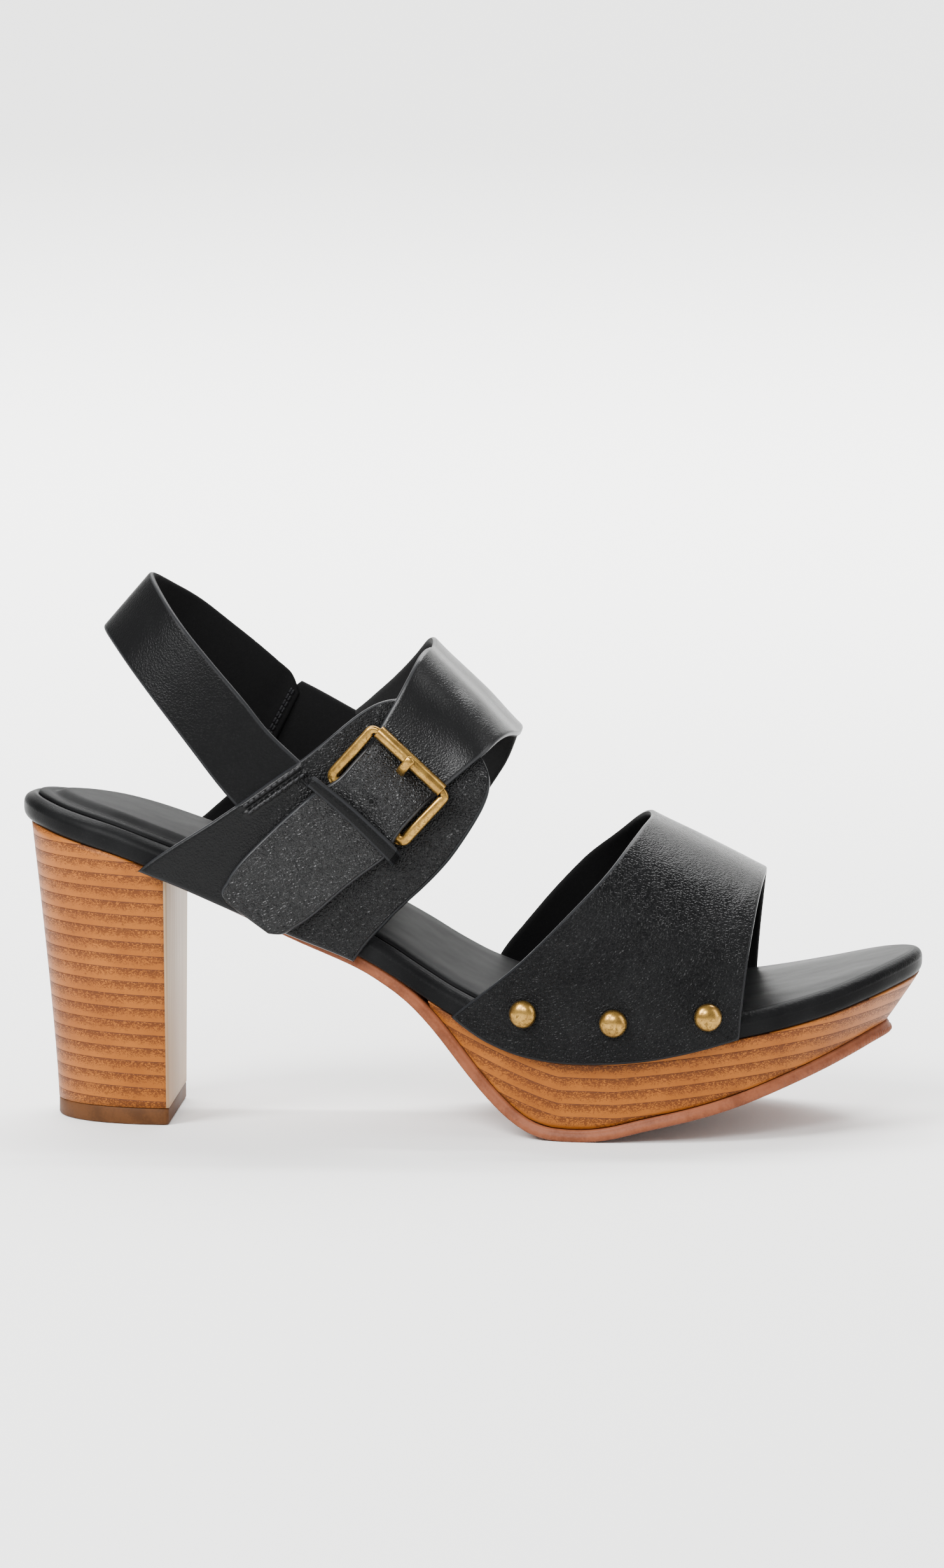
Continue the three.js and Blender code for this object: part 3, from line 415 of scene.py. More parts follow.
# Shader maths written as plain expressions: each operator on a wire adds one Math node
class Wire:
    def __init__(self, paint, socket):
        self.paint, self.socket = paint, socket

    def maths(self, operation, first, second=None, third=None):
        values = {i: value for i, value in enumerate((first, second, third)) if value is not None}
        return self.paint.node("ShaderNodeMath", {"operation": operation}, values)

    def __add__(self, other):
        return self.maths("ADD", self, other)

    def __radd__(self, other):
        return self.maths("ADD", other, self)

    def __sub__(self, other):
        return self.maths("SUBTRACT", self, other)

    def __rsub__(self, other):
        return self.maths("SUBTRACT", other, self)

    def __mul__(self, other):
        return self.maths("MULTIPLY", self, other)

    def __rmul__(self, other):
        return self.maths("MULTIPLY", other, self)

    def __truediv__(self, other):
        return self.maths("DIVIDE", self, other)

    def __pow__(self, other):
        return self.maths("POWER", self, other)

    def fraction(self):
        return self.maths("FRACT", self)

    def size(self):
        return self.maths("ABSOLUTE", self)

    def ramp(self, low, high):
        settings = {"interpolation_type": "SMOOTHSTEP", "clamp": True}
        flip = low > high
        ends = {"From Min": min(low, high), "From Max": max(low, high)}
        ends.update({"To Min": 1.0 if flip else 0.0, "To Max": 0.0 if flip else 1.0})
        return self.paint.node("ShaderNodeMapRange", settings, {"Value": self, **ends})


# One material: the method node takes a node's type, its settings, and the values or wires of its sockets
class Paint:
    def __init__(self, name):
        self.material = bpy.data.materials.new(name)
        self.material.use_nodes = True
        self.tree = self.material.node_tree
        self.tree.nodes.clear()
        self.place = self.node("ShaderNodeTexCoord", output="Object")

    def node(self, kind, settings=None, inputs=None, output=0):
        made = self.tree.nodes.new(kind)
        for key, value in (settings or {}).items():
            setattr(made, key, value)
        for key, value in (inputs or {}).items():
            if isinstance(value, Wire):
                self.tree.links.new(value.socket, made.inputs[key])
            else:
                made.inputs[key].default_value = value
        return None if output is None else Wire(self, made.outputs[output])

    def fact(self, name):
        return self.node("ShaderNodeAttribute", {"attribute_name": name}, output="Fac")

    def noise(self, size, detail=2.0, rough=0.5, distortion=0.0, vector=None):
        sockets = {"Scale": 1000 / size, "Detail": detail, "Roughness": rough, "Distortion": distortion}
        return self.node("ShaderNodeTexNoise", {}, {"Vector": vector or self.place, **sockets})

    def cells(self, size, feature="F1", output="Distance", smoothness=None, vector=None):
        sockets = {"Vector": vector or self.place, "Scale": 1000 / size}
        if smoothness is not None:
            sockets["Smoothness"] = smoothness
        return self.node("ShaderNodeTexVoronoi", {"feature": feature}, sockets, output)

    def stretch(self, scale, turn=(0, 0, 0)):
        return self.node("ShaderNodeMapping", {}, {"Vector": self.place, "Scale": scale, "Rotation": turn})

    def blend(self, first, second, share):
        inputs = {"Factor": share, 6: first, 7: second}
        return self.node("ShaderNodeMix", {"data_type": "RGBA"}, inputs, 2)

    def relief(self, height, depth, normal=None):
        inputs = {"Height": height, "Distance": depth / 1000, "Strength": 1.0}
        if normal is not None:
            inputs["Normal"] = normal
        return self.node("ShaderNodeBump", {}, inputs)

    def finish(self, **sockets):
        names = {"colour": "Base Color", "roughness": "Roughness", "metal": "Metallic",
                 "gloss": "Specular IOR Level", "normal": "Normal"}
        inputs = {names[key]: value for key, value in sockets.items()}
        shader = self.node("ShaderNodeBsdfPrincipled", {}, inputs)
        self.node("ShaderNodeOutputMaterial", {}, {"Surface": shader}, None)
        return self.material


leatherLook = {
    "colour": (0.0035, 0.0036, 0.0038, 1),
    "worn": (0.0075, 0.0077, 0.008, 1),
    # rim: partly the grey of the edge paint, partly a painted highlight on the rounded edges
    "rim": (0.012, 0.0125, 0.0135, 1),
    "lining": (0.0042, 0.0042, 0.0044, 1),
    "grain": 0.85,  # mm across a pebble
    "grainDepth": 0.3,
    "pore": 0.32,
    "poreDepth": 0.03,
}


# Black strap leather: pebbles where the fact says so, fine pores elsewhere, a painted edge that is lighter partly
# for its edge paint and partly as painted highlight, and a suede lining
def strapLeather(name, roughness, gloss):
    paint = Paint(name)
    rim = paint.fact("edge").ramp(1.0, 0.6)
    lining = paint.fact("inside").ramp(0.4, 0.6)
    top = 1 - lining
    plain = (1 - rim) * top
    pebble = paint.fact("pebble")
    creases = paint.cells(leatherLook["grain"], "DISTANCE_TO_EDGE").ramp(0.0, 0.3)
    worms = paint.noise(leatherLook["grain"] * 1.3, 3, 0.6, 0.6)
    pores = paint.noise(leatherLook["pore"], 2, 0.6)
    nap = paint.noise(0.5, 3, 0.7)
    broad = paint.noise(14, 2, 0.5)
    grain = paint.relief((creases * 0.6 + worms) * pebble * plain, leatherLook["grainDepth"])
    fine = paint.relief(pores * plain + nap * lining * 3, leatherLook["poreDepth"], grain)
    soft = paint.relief(broad * top, 0.25, fine)
    rubbed = (broad * 0.6 + worms * 0.5 * pebble).ramp(0.35, 0.8)
    tone = paint.blend(leatherLook["colour"], leatherLook["worn"], rubbed)
    # the lighter rim colour: partly edge paint, partly a painted highlight where the rounded edge catches light
    edged = paint.blend(tone, leatherLook["rim"], rim * top)
    colour = paint.blend(edged, leatherLook["lining"], lining)
    rough = roughness + broad * 0.12 - 0.06 + lining * 0.4 + rim * 0.05 - pebble * plain * 0.1
    return paint.finish(colour=colour, roughness=rough, gloss=gloss, normal=soft)


# The footbed's wrap and the sock: smooth leather that crinkles where the fact says so
def wrapLeather(name, roughness, gloss):
    paint = Paint(name)
    crinkle = paint.fact("crinkle")
    cells = paint.noise(1.3, 4, 0.65, 1.2)
    pores = paint.noise(0.4, 2, 0.6)
    broad = paint.noise(20, 2)
    grain = paint.relief(cells * crinkle, 0.16)
    fine = paint.relief(pores, 0.045, grain)
    soft = paint.relief(broad, 0.5, fine)
    tone = paint.blend(leatherLook["colour"], leatherLook["worn"], broad.ramp(0.35, 0.75))
    rough = roughness + broad * 0.1 - 0.05
    return paint.finish(colour=tone, roughness=rough, gloss=gloss, normal=soft)


stackLook = {
    "pitch": 3.68,  # mm from one layer to the next
    "worm": 0.62,  # mm from one worm to the next
    "light": (0.255, 0.08, 0.0105, 1),
    "lightDeep": (0.215, 0.064, 0.008, 1),
    "dark": (0.055, 0.0145, 0.0035, 1),
    "roughness": 0.47,
}


# Stacked layers from the fact level, in mm: a thin dark line on top of each, dense worms under it that thin out
# downwards, and a plain light foot
def stackedLayers(name, breast=False):
    paint = Paint(name)
    level = paint.fact("level")
    wander = paint.noise(40, 1) - 0.5
    part = ((level + wander * 0.5) / stackLook["pitch"]).fraction()
    flat = paint.stretch((0.8, 0.8, 1.25))
    worms = (paint.noise(stackLook["worm"], 1, 0.5, 0.8, flat) - 0.5).size()
    islands = paint.noise(1.1, 2)
    patches = paint.noise(5, 1)
    cover = 0.15 * part.ramp(-0.05, 0.9) + (patches - 0.5) * 0.1 + (islands - 0.5) * 0.1 - 0.02
    marks = (cover - worms).ramp(-0.02, 0.03)
    blotch = paint.noise(12, 2)
    tint = paint.blend(stackLook["lightDeep"], stackLook["light"], blotch.ramp(0.3, 0.7))
    marked = paint.blend(tint, stackLook["dark"], marks * (0.5 + 0.35 * part))
    line = part.ramp(0.93, 0.985) * part.ramp(1.0, 0.992)
    colour = paint.blend(marked, stackLook["dark"], line * 0.85)
    if breast:
        streak = paint.noise(4, 3, 0.6, vector=paint.stretch((1, 1, 0.05)))
        foot = paint.noise(30, 2)
        fade = (level / shoe["heelHeight"]).ramp(0.75, 0.1) * 0.6 + foot * 0.4
        upper = paint.blend((0.33, 0.23, 0.14, 1), (0.44, 0.34, 0.22, 1), (streak + foot * 0.4).ramp(0.4, 0.95))
        pale = paint.blend(upper, (0.32, 0.185, 0.09, 1), fade.ramp(0.3, 0.75) * 0.8)
        bare = paint.fact("breast").ramp(0.3, 0.7)
        colour = paint.blend(colour, pale, bare)
        marks, line = marks * (1 - bare), line * (1 - bare)
    step = paint.relief(0 - 0.2 * marks - line, 0.07)
    return paint.finish(colour=colour, roughness=stackLook["roughness"] + marks * 0.08, gloss=0.15, normal=step)


# Moulded rubber of the outsole and the heel tip: random blotches of tone, with painted shade in the hollows of its
# fine relief
def mouldedRubber(name, light, dark, roughness):
    paint = Paint(name)
    blotch = paint.noise(6, 3)
    speck = paint.noise(0.6, 2)
    # darker where the speck relief is low: painted shade in its hollows
    colour = paint.blend(dark, light, (blotch + speck * 0.4).ramp(0.45, 0.85))
    normal = paint.relief(speck, 0.04)
    rough = roughness + blotch * 0.12 - 0.06
    return paint.finish(colour=colour, roughness=rough, gloss=0.15, normal=normal)


brassLook = {
    "bright": (0.4, 0.235, 0.055, 1),
    "worn": (0.25, 0.14, 0.034, 1),
    "patina": (0.05, 0.024, 0.008, 1),
    "roughness": 0.26,
}


# Antique brass: brown patina in the mottle, brighter where it is rubbed, and painted shade as a dark line along a
# roller's slit
def agedBrass(name, slit=False):
    paint = Paint(name)
    mottle = paint.noise(0.9, 4, 0.7, 0.6)
    broad = paint.noise(3.5, 2)
    patina = (mottle + broad * 0.35).ramp(0.62, 0.92)
    metal = paint.blend(brassLook["worn"], brassLook["bright"], broad.ramp(0.35, 0.65))
    colour = paint.blend(metal, brassLook["patina"], patina * 0.85)
    rough = brassLook["roughness"] + patina * 0.25
    normal = paint.relief(mottle, 0.012)
    if slit:
        # painted shade: the slit of the closed tube is drawn as a dark line instead of a gap
        gap = paint.fact("slit").ramp(0.55, 0.85)
        colour = paint.blend(colour, (0.03, 0.014, 0.006, 1), gap)
    return paint.finish(colour=colour, roughness=rough, metal=0.95, normal=normal)


def plainBlack(name, colour, roughness):
    paint = Paint(name)
    twist = paint.noise(0.5, 2)
    return paint.finish(colour=colour, roughness=roughness, gloss=0.2, normal=paint.relief(twist, 0.03))


print("materials")
bandLeather = strapLeather("bandLeather", 0.28, 0.22)
quarterLeather = strapLeather("quarterLeather", 0.26, 0.12)
satinLeather = strapLeather("satinLeather", 0.34, 0.07)
vampLeather = strapLeather("vampLeather", 0.25, 0.06)
footbedLeather = wrapLeather("footbedLeather", 0.36, 0.035)
sockLeather = wrapLeather("sockLeather", 0.5, 0.03)
platformStack = stackedLayers("platformStack")
heelStack = stackedLayers("heelStack", True)
soleRubber = mouldedRubber("soleRubber", (0.18, 0.056, 0.024, 1), (0.12, 0.035, 0.014, 1), 0.5)
tipRubber = mouldedRubber("tipRubber", (0.078, 0.029, 0.008, 1), (0.052, 0.019, 0.005, 1), 0.6)
brass = agedBrass("agedBrass")
rollerBrass = agedBrass("rollerBrass", True)

print("sole")
roll = {"bottom": 1.4, "top": 3.4, "side": 3.6, "bead": 0.45, "toeCrown": 0.8}


# The bare toe's crown: crown * smooth steps of the place along the foot and of the share of the half width
def toeCrown(x, y):
    share = np.clip(x / shoe["length"], 0, 1)
    aside = np.abs(y - middle(share)) / np.maximum(halfWidth(share), 1)
    return roll["toeCrown"] * smooth(185, 200, x) * smooth(243, 226, x) * smooth(1, 0.5, aside)


# The footbed's wrap: quarter circles at the bottom and the top of the side, and a low bead beside the sock
def makeFootbed():
    count = 200
    t = shoe["footbed"]
    low, high = np.linspace(0, math.pi / 2, 6), np.linspace(0, math.pi / 2, 12)
    margins = np.concatenate([roll["bottom"] * (1 - np.sin(low)), roll["top"] * (1 - np.cos(high)), [3.9, 4.4, 6]])
    rises = np.concatenate([2.2 * (1 - np.cos(low)), lerp(roll["side"], t, np.sin(high)), np.full(3, t)])
    rings = []
    for margin, rise in zip(margins, rises):
        loop = outlineLoop(0, 1, count, lambda s: np.full_like(s, margin))
        toe = smooth(185, 200, loop[:, 0])
        added = (1 - toe) * roll["bead"] * bump(3.2, 0.9, margin) + toeCrown(loop[:, 0], loop[:, 1])
        rings.append(np.column_stack([loop, underside(loop[:, 0], loop[:, 1]) + rise + added]))
    rings = np.array(rings)
    ring = np.broadcast_to(np.arange(len(margins))[:, None], rings.shape[:2])
    crinkle = ((ring > 6) & (ring < 15)) * (0.3 + 0.7 * smooth(90, 130, rings[..., 0]))
    stackPiece(
        "footbed", rings, footbedLeather, ["footbed"], {"crinkle": crinkle},
        lambda x, y: underside(x, y) + t + toeCrown(x, y),
    )


sock = {"margin": 4.2, "end": 0.77, "thickness": 1.5, "dome": 0.45, "pad": 1.3, "padEnd": 74.0}


# The sock's height over the footbed: thickness * rolled edge + a slight dome + a raised heel pad with a crease
# round it, each a function of the distance in from the sock's edge
def sockHeight(x, inward):
    edge = np.interp(inward, [0, 0.15, 0.5, 1, 1.7, 2.4], [0.35, 0.6, 0.8, 0.92, 0.98, 1])
    onPad = 1 - smooth(sock["padEnd"] - 9, sock["padEnd"] + 9, x)
    pad = sock["pad"] * smooth(4.4, 8, inward) - 0.3 * bump(4.1, 0.9, inward)
    return sock["thickness"] * edge + sock["dome"] * smooth(0, 9, inward) + onPad * pad


def makeSock():
    count = 170
    base = shoe["footbed"] + 0.1
    inwards = np.array([0, 0, 0.15, 0.5, 1, 1.7, 2.4, 3, 3.5, 4, 4.5, 5, 5.7, 6.4, 7.2, 8, 9])
    rings = []
    for i, inward in enumerate(inwards):
        loop = outlineLoop(0, sock["end"], count, lambda s: np.full_like(s, sock["margin"] + inward))
        rise = 0 if i == 0 else sockHeight(loop[:, 0], inward)
        rings.append(np.column_stack([loop, underside(loop[:, 0], loop[:, 1]) + base + rise]))
    rings = np.array(rings)
    piece = stackPiece(
        "sock", rings, sockLeather, ["sock"], {"crinkle": np.zeros(rings.shape[:2])},
        lambda x, y: underside(x, y) + base + sockHeight(x, 9.0),
    )


def soleThickness(share):
    return shoe["outsole"] * lerp(0.55, 1, smooth(shoe["breast"] / shoe["length"], 0.4, share))


# The outsole's walking face: what is left of the shank's height, plus the rise at the toe
def treadHeight(x, y):
    share = x / shoe["length"]
    hang = underside(x, y) - 1.08 * (soleThickness(share) + shoe["gap"])
    return hang * treadUnder(share) + shoe["outsoleToeRise"] * treadRise(share)


# The walking face moved by lift along its own normal in the side view
def aboveTread(x, y, lift):
    slope = (treadHeight(x + 0.2, y) - treadHeight(x - 0.2, y)) / 0.4
    size = np.sqrt(1 + slope**2)
    return x - lift * slope / size, treadHeight(x, y) + lift / size


def heightAboveTread(x, y, lift):
    source = x
    for _ in range(12):
        source = source - (aboveTread(source, y, lift)[0] - x)
    return aboveTread(source, y, lift)[1]


def toeLean(share):
    return shoe["toeDraft"] * smooth(0.8, 1, share)


def makeOutsole():
    count = 420
    lips = [(1.2, 0), (0.5, 0), (0.1, 0.1), (0, 0.25), (0.1, 0.5), (0.45, 0.62), (0.5, 0.8), (0.8, 1), (3, 1)]
    rings = []
    for margin, part in lips:
        first = shoe["breast"] / shoe["length"] + 0.004
        serration = 0.16 * (1 - smooth(0.3, 0.5, part)) * (part > 0)
        loop = outlineLoop(first, 1, count, lambda s: shoe["outsoleMargin"] + margin + toeLean(s))
        notch = serration * (1 + np.sign(np.sin(np.arange(len(loop)) * math.pi / 2 + 0.3)))
        inward = unit(np.array([110, 0]) - loop)
        loop = loop + inward * notch[:, None]
        x, z = aboveTread(loop[:, 0], loop[:, 1], part * soleThickness(loop[:, 0] / shoe["length"]))
        rings.append(np.column_stack([x, loop[:, 1], z]))
    stackPiece("outsole", np.array(rings), soleRubber, ["outsole"])


platform = {"start": 0.462, "levels": 16}


# The platform's side between the outsole and the footbed; level is the height above its base, flattening upwards
def makePlatform():
    count = 260
    rings, levels = [], []
    for part in np.linspace(0, 1, platform["levels"]):
        loop = outlineLoop(
            platform["start"], 1, count,
            lambda s: shoe["platformMargin"] + (1 - part) * (shoe["platformDraft"] + toeLean(s)),
        )
        x, y = loop[:, 0], loop[:, 1]
        base = heightAboveTread(x, y, soleThickness(x / shoe["length"]) + shoe["gap"])
        z = lerp(base, underside(x, y) - shoe["gap"], part)
        rings.append(np.column_stack([x, y, z]))
        levels.append(z - shoe["outsole"] - 0.11 * np.maximum(x - 165, 0) - 0.2 * np.maximum(150 - x, 0) ** 1.2)
    facts = {"level": np.array(levels)}
    stackPiece("platform", np.array(rings), platformStack, ["platform"], facts)


# One level of the D-shaped heel: |y/half|^2.2 + (1 - t)^2.2 = 1 round the back, and a flat breast
def heelLoop(rise, margin):
    corner = 1.2
    back = lerp(shoe["heelBottomBack"], shoe["heelTopBack"], rise**1.25) + margin
    front = shoe["breast"] - margin
    half = lerp(shoe["heelTipWidth"], shoe["heelTopWidth"], rise) / 2 - margin
    t = 1 - np.cos(np.linspace(0, math.pi / 2, 60))
    x = list(lerp(back, front - corner, t)) + [front - corner * 0.3, front]
    y = list(half * (1 - (1 - t) ** 2.2) ** (1 / 2.2)) + [half - corner * 0.3, half - corner]
    outer = np.array([x, y]).T
    return np.concatenate([outer * [1, -1], outer[::-1]])


def makeHeel():
    rings, levels, breasts = [], [], []
    for rise in np.linspace(0, 1, 40):
        loop = heelLoop(rise, 0)
        x, y = loop[:, 0], loop[:, 1]
        z = lerp(shoe["heelTip"], underside(x, y) - shoe["gap"], rise)
        rings.append(np.column_stack([x, y, z]))
        levels.append(z + 0.035 * (x - 20))
        breasts.append((x > shoe["breast"] - 0.8) * 1.0)
    facts = {"level": np.array(levels), "breast": np.array(breasts)}
    stackPiece("heelBlock", np.array(rings), heelStack, ["heel_block"], facts)
    tip = []
    top = shoe["heelTip"]
    lips = [(3, 0), (0.9, 0), (0.3, 0.15), (0.1, 0.5), (0.1, top - 0.5), (0.35, top - 0.1), (2, top - 0.05)]
    for margin, z in lips:
        loop = heelLoop(0, margin)
        tip.append(np.column_stack([loop, np.full(len(loop), z)]))
    stackPiece("heelTip", np.array(tip), tipRubber, ["heel_tip"])


makeFootbed()
makeSock()
makeOutsole()
makePlatform()
makeHeel()

print("straps")


def pebbleOn(share):
    return lambda u, v, points: np.full_like(u, share)


# Distance from a line between two points of the side view, and the place along it in mm
def fromLine(points, start, finish):
    start, finish = np.array(start), np.array(finish)
    ahead = unit(finish - start)
    offset = points[..., [0, 2]] - start
    along = offset @ ahead
    return offset @ np.array([-ahead[1], ahead[0]]), along, np.linalg.norm(finish - start)


seam = {
    "start": (64.4, 88.8),
    "finish": (79.6, 99.6),
    "apart": 2.3,
    "stitch": 1.9,
    "thread": 0.75,
    "ridge": 0.7,
    "lift": 0.78,
    "slingRows": (0.952, 0.965),
}
spare = {"u": 0.5, "v": 0.385, "radius": 0.85, "ring": 0.28, "lift": 0.5}  # the spare hole's place on the band
pillow = {"height": 1.3, "from": 0.33, "to": 0.56}  # the band's bulge between the keeper and the roller


# Two rounded ridges under the stitches with a dip between them
def seamRelief(points):
    off, along, length = fromLine(points, seam["start"], seam["finish"])
    inside = smooth(-1.5, 0.5, along) * (1 - smooth(length - 0.5, length + 1.5, along))
    ridges = bump(seam["apart"] / 2, 0.75, off) + bump(-seam["apart"] / 2, 0.75, off)
    return inside * (seam["ridge"] * ridges - 0.35 * bump(0, 0.6, off))


def outerQuarterRelief(u, v, points):
    return seamRelief(points)


# The band swells inside the buckle, and lies flat under the keeper and the roller
def bandRelief(u, v, points):
    swell = smooth(pillow["from"], pillow["from"] + 0.07, v) * (1 - smooth(pillow["to"] - 0.07, pillow["to"], v))
    crown = 1 - np.abs(2 * u - 1) ** 2.6
    dimple = 0.5 * bump(spare["u"], 0.07, u) * bump(spare["v"], 0.016, v)
    return pillow["height"] * swell * crown - dimple


def bandPebble(u, v, points):
    return 1 - 0.9 * smooth(0.55, 0.6, v)


def quarterPebble(u, v, points):
    ahead = smooth(62, 84, points[..., 0] - 0.5 * (points[..., 2] - 80))
    return 0.12 + 0.88 * ahead


def vampPebble(u, v, points):
    low = 1 - smooth(0.2, 0.42, v)
    return 0.35 + 0.5 * low


# Soft creases where the vamp bends, as troughs and ridges across its front edge
def vampRelief(u, v, points):
    waves = 0.16 * bump(0.9, 0.05, u) * bump(0.36, 0.05, v) - 0.14 * bump(0.8, 0.04, u) * bump(0.33, 0.04, v)
    return waves - 0.1 * bump(0.85, 0.05, u) * bump(0.42, 0.03, v)


strapPiece(
    "vampStrap", vampSheet, vampLeather, ["vamp_strap"], 70, 240,
    relief=vampRelief, facts={"pebble": vampPebble},
)
strapPiece(
    "outerQuarter", strapSheet(outerQuarterRows), quarterLeather, ["ankle_upper"], 110, 180,
    relief=outerQuarterRelief, facts={"pebble": quarterPebble},
)
strapPiece(
    "innerQuarter", strapSheet(innerQuarterRows), satinLeather, ["ankle_upper"], 60, 80,
    facts={"pebble": pebbleOn(0.4)},
)
strapPiece(
    "band", strapSheet(bandRows), bandLeather, ["ankle_upper"], 60, 400,
    relief=bandRelief, facts={"pebble": bandPebble},
)
strapPiece("sling", slingSheet, satinLeather, ["ankle_upper"], 36, 280, facts={"pebble": pebbleOn(0.15)})

# place across the band, then how many layers the back and the front edge of the outer face stand off the quarter
keeperRows = [
    (-0.032, 0.643, 0.643), (-0.024, 1.81, 2), (0.01, 2.762, 3.095), (0.06, 2.905, 3.286), (0.5, 2.952, 3.333),
    (0.94, 2.905, 3.286), (0.99, 2.762, 3.095), (1.024, 1.81, 2), (1.032, 0.643, 0.643),
]
keeper = {
    "thickness": 1.2,
    "backTop": (0.331, 0.236),
    "frontTop": (0.338, 0.256),
    "backLow": (0.422, 0.203),
    "frontLow": (0.4325, 0.235),
}


def keeperSheet(u, v):
    at = np.linspace(0, 1, len(keeperRows))
    place, back, front = (np.interp(v, at, [row[i] for row in keeperRows]) for i in range(3))
    backEdge = lerp(np.array(keeper["backTop"]), np.array(keeper["backLow"]), place[..., None])
    frontEdge = lerp(np.array(keeper["frontTop"]), np.array(keeper["frontLow"]), place[..., None])
    spot = lerp(backEdge, frontEdge, 1 - u[..., None])
    return lastPoint(spot[..., 0], spot[..., 1], layerLift * (1 + lerp(back, front, 1 - u)))


# A thin pressed line runs inside the keeper's front edge
def keeperRelief(u, v, points):
    return 0.25 * bump(0.5, 0.3, u) - 0.22 * bump(0.2, 0.05, u)


strapPiece(
    "keeper", keeperSheet, satinLeather, ["keeper"], 40, 160,
    relief=keeperRelief, facts={"pebble": pebbleOn(0.25)}, thickness=keeper["thickness"],
)

print("buckle")
buckle = {
    "across": 29.6,
    "along": 21.3,
    "bar": 3.3,
    "depth": 2.6,
    "corner": 3.4,
    "roller": 3.8,
    "rollerLength": 23.6,
    "prong": 2.6,
    "prongDepth": 1.5,
}
buckleCorners = {
    "hiddenTop": (0.348, 0.271),
    "hiddenLow": (0.434, 0.243),
    "rollerTop": (0.405, 0.429),
    "rollerLow": (0.494, 0.423),
}


def buckleAxes(hidden, roller):
    along = unit(roller.mean(0) - hidden.mean(0))
    across = roller[1] - roller[0] + hidden[1] - hidden[0]
    across = unit(across - along * (across @ along))
    return across, along, np.cross(across, along)


def placeBuckle():
    hidden, roller = (
        np.array([lastPoint(*buckleCorners[kind + end], layerLift) for end in ("Top", "Low")])
        for kind in ("hidden", "roller")
    )
    out = buckleAxes(hidden, roller)[2]
    hidden = hidden + out * (shoe["gap"] + buckle["depth"] / 2)
    roller = roller + out * (layerLift + 2 * shoe["gap"] + buckle["roller"] / 2)
    return (hidden.mean(0) + roller.mean(0)) / 2, np.array(buckleAxes(hidden, roller))


buckleCentre, buckleTurn = placeBuckle()


def onBuckle(points):
    return points @ buckleTurn + buckleCentre


# A bar of superellipse section carried along stations: at + side * width/2 * cos^(2/p) + up * height/2 * sin^(2/p)
def sweep(at, side, up, width, height, power=2.6, sides=20):
    turn = np.arange(sides) * 2 * math.pi / sides
    c = np.sign(np.cos(turn)) * np.abs(np.cos(turn)) ** (2 / power)
    s = np.sign(np.sin(turn)) * np.abs(np.sin(turn)) ** (2 / power)
    sideways = side[:, None] * (width / 2)[:, None, None] * c[:, None]
    upwards = up[:, None] * (height / 2)[:, None, None] * s[:, None]
    return at[:, None] + (sideways + upwards)


def makeFrame():
    steps = 14
    halfAcross, halfAlong = (buckle["across"] - buckle["bar"]) / 2, (buckle["along"] - buckle["bar"]) / 2
    radius = buckle["corner"] - buckle["bar"] / 2
    pin = buckle["roller"] - 1.8
    at, side, width, height = [], [], [], []
    for quarter, (right, ahead) in enumerate([(1, 1), (-1, 1), (-1, -1), (1, -1)]):
        angle = math.pi / 2 * (quarter + np.linspace(0, 1, steps))
        c, s = np.cos(angle), np.sin(angle)
        onPin = lerp(0.4, 1, s) if ahead > 0 else 0 * s
        w = lerp(buckle["bar"], pin, onPin)
        x = right * (halfAcross - radius) + c * (buckle["corner"] - w / 2)
        y = ahead * (halfAlong - radius) + s * radius
        at.append(np.column_stack([x, y, 0 * x]))
        side.append(np.column_stack([c, s, 0 * c]))
        width.append(w)
        height.append(lerp(buckle["depth"], pin, onPin))
    at, side = np.concatenate(at), np.concatenate(side)
    up = np.tile([0.0, 0, 1], (len(at), 1))
    rings = sweep(at, side, up, np.concatenate(width), np.concatenate(height))
    index = np.arange(rings.shape[0] * rings.shape[1]).reshape(rings.shape[:2])
    faces = gridFaces(np.concatenate([index, index[:1]]), True)
    meshPiece("buckleFrame", onBuckle(rings), faces, brass, ["buckle_frame"])


# The roller: a tube turned about the strap's width, with its ends rolled in
def makeRoller():
    half, outer, inner = buckle["rollerLength"] / 2, buckle["roller"] / 2, buckle["roller"] / 2 - 0.55
    lip = np.array([inner, inner + 0.05, outer - 0.22, outer - 0.05, outer])
    inset = np.array([0.1, 0, 0, 0.1, 0.3])
    radius = np.concatenate([lip, lip[::-1]])
    place = np.concatenate([inset - half, half - inset[::-1]])
    turn = np.linspace(0, 2 * math.pi, 48, endpoint=False)
    rings = np.stack([
        place[:, None] + 0 * turn,
        radius[:, None] * np.cos(turn) + (buckle["along"] - buckle["bar"]) / 2,
        radius[:, None] * np.sin(turn),
    ], -1)
    index = np.arange(rings.shape[0] * rings.shape[1]).reshape(rings.shape[:2])
    faces = gridFaces(np.concatenate([index, index[:1]]), True)
    # where the slit's painted shade lies on the closed tube
    slit = np.broadcast_to(bump(math.pi * 0.86, 0.07, turn), rings.shape[:2])
    meshPiece("buckleRoller", onBuckle(rings), faces, rollerBrass, ["buckle_roller"], {"slit": slit})


# the prong's places along the strap and their heights over the buckle's middle plane
prongRows = [
    (-6.3, -0.4), (-3, -1.2), (0, -1.75), (2, -1.7), (3.5, -0.95), (4.9, 0.4), (6.2, 1.9), (7.6, 2.85),
    (9, 3.1), (10.7, 2.65),
]


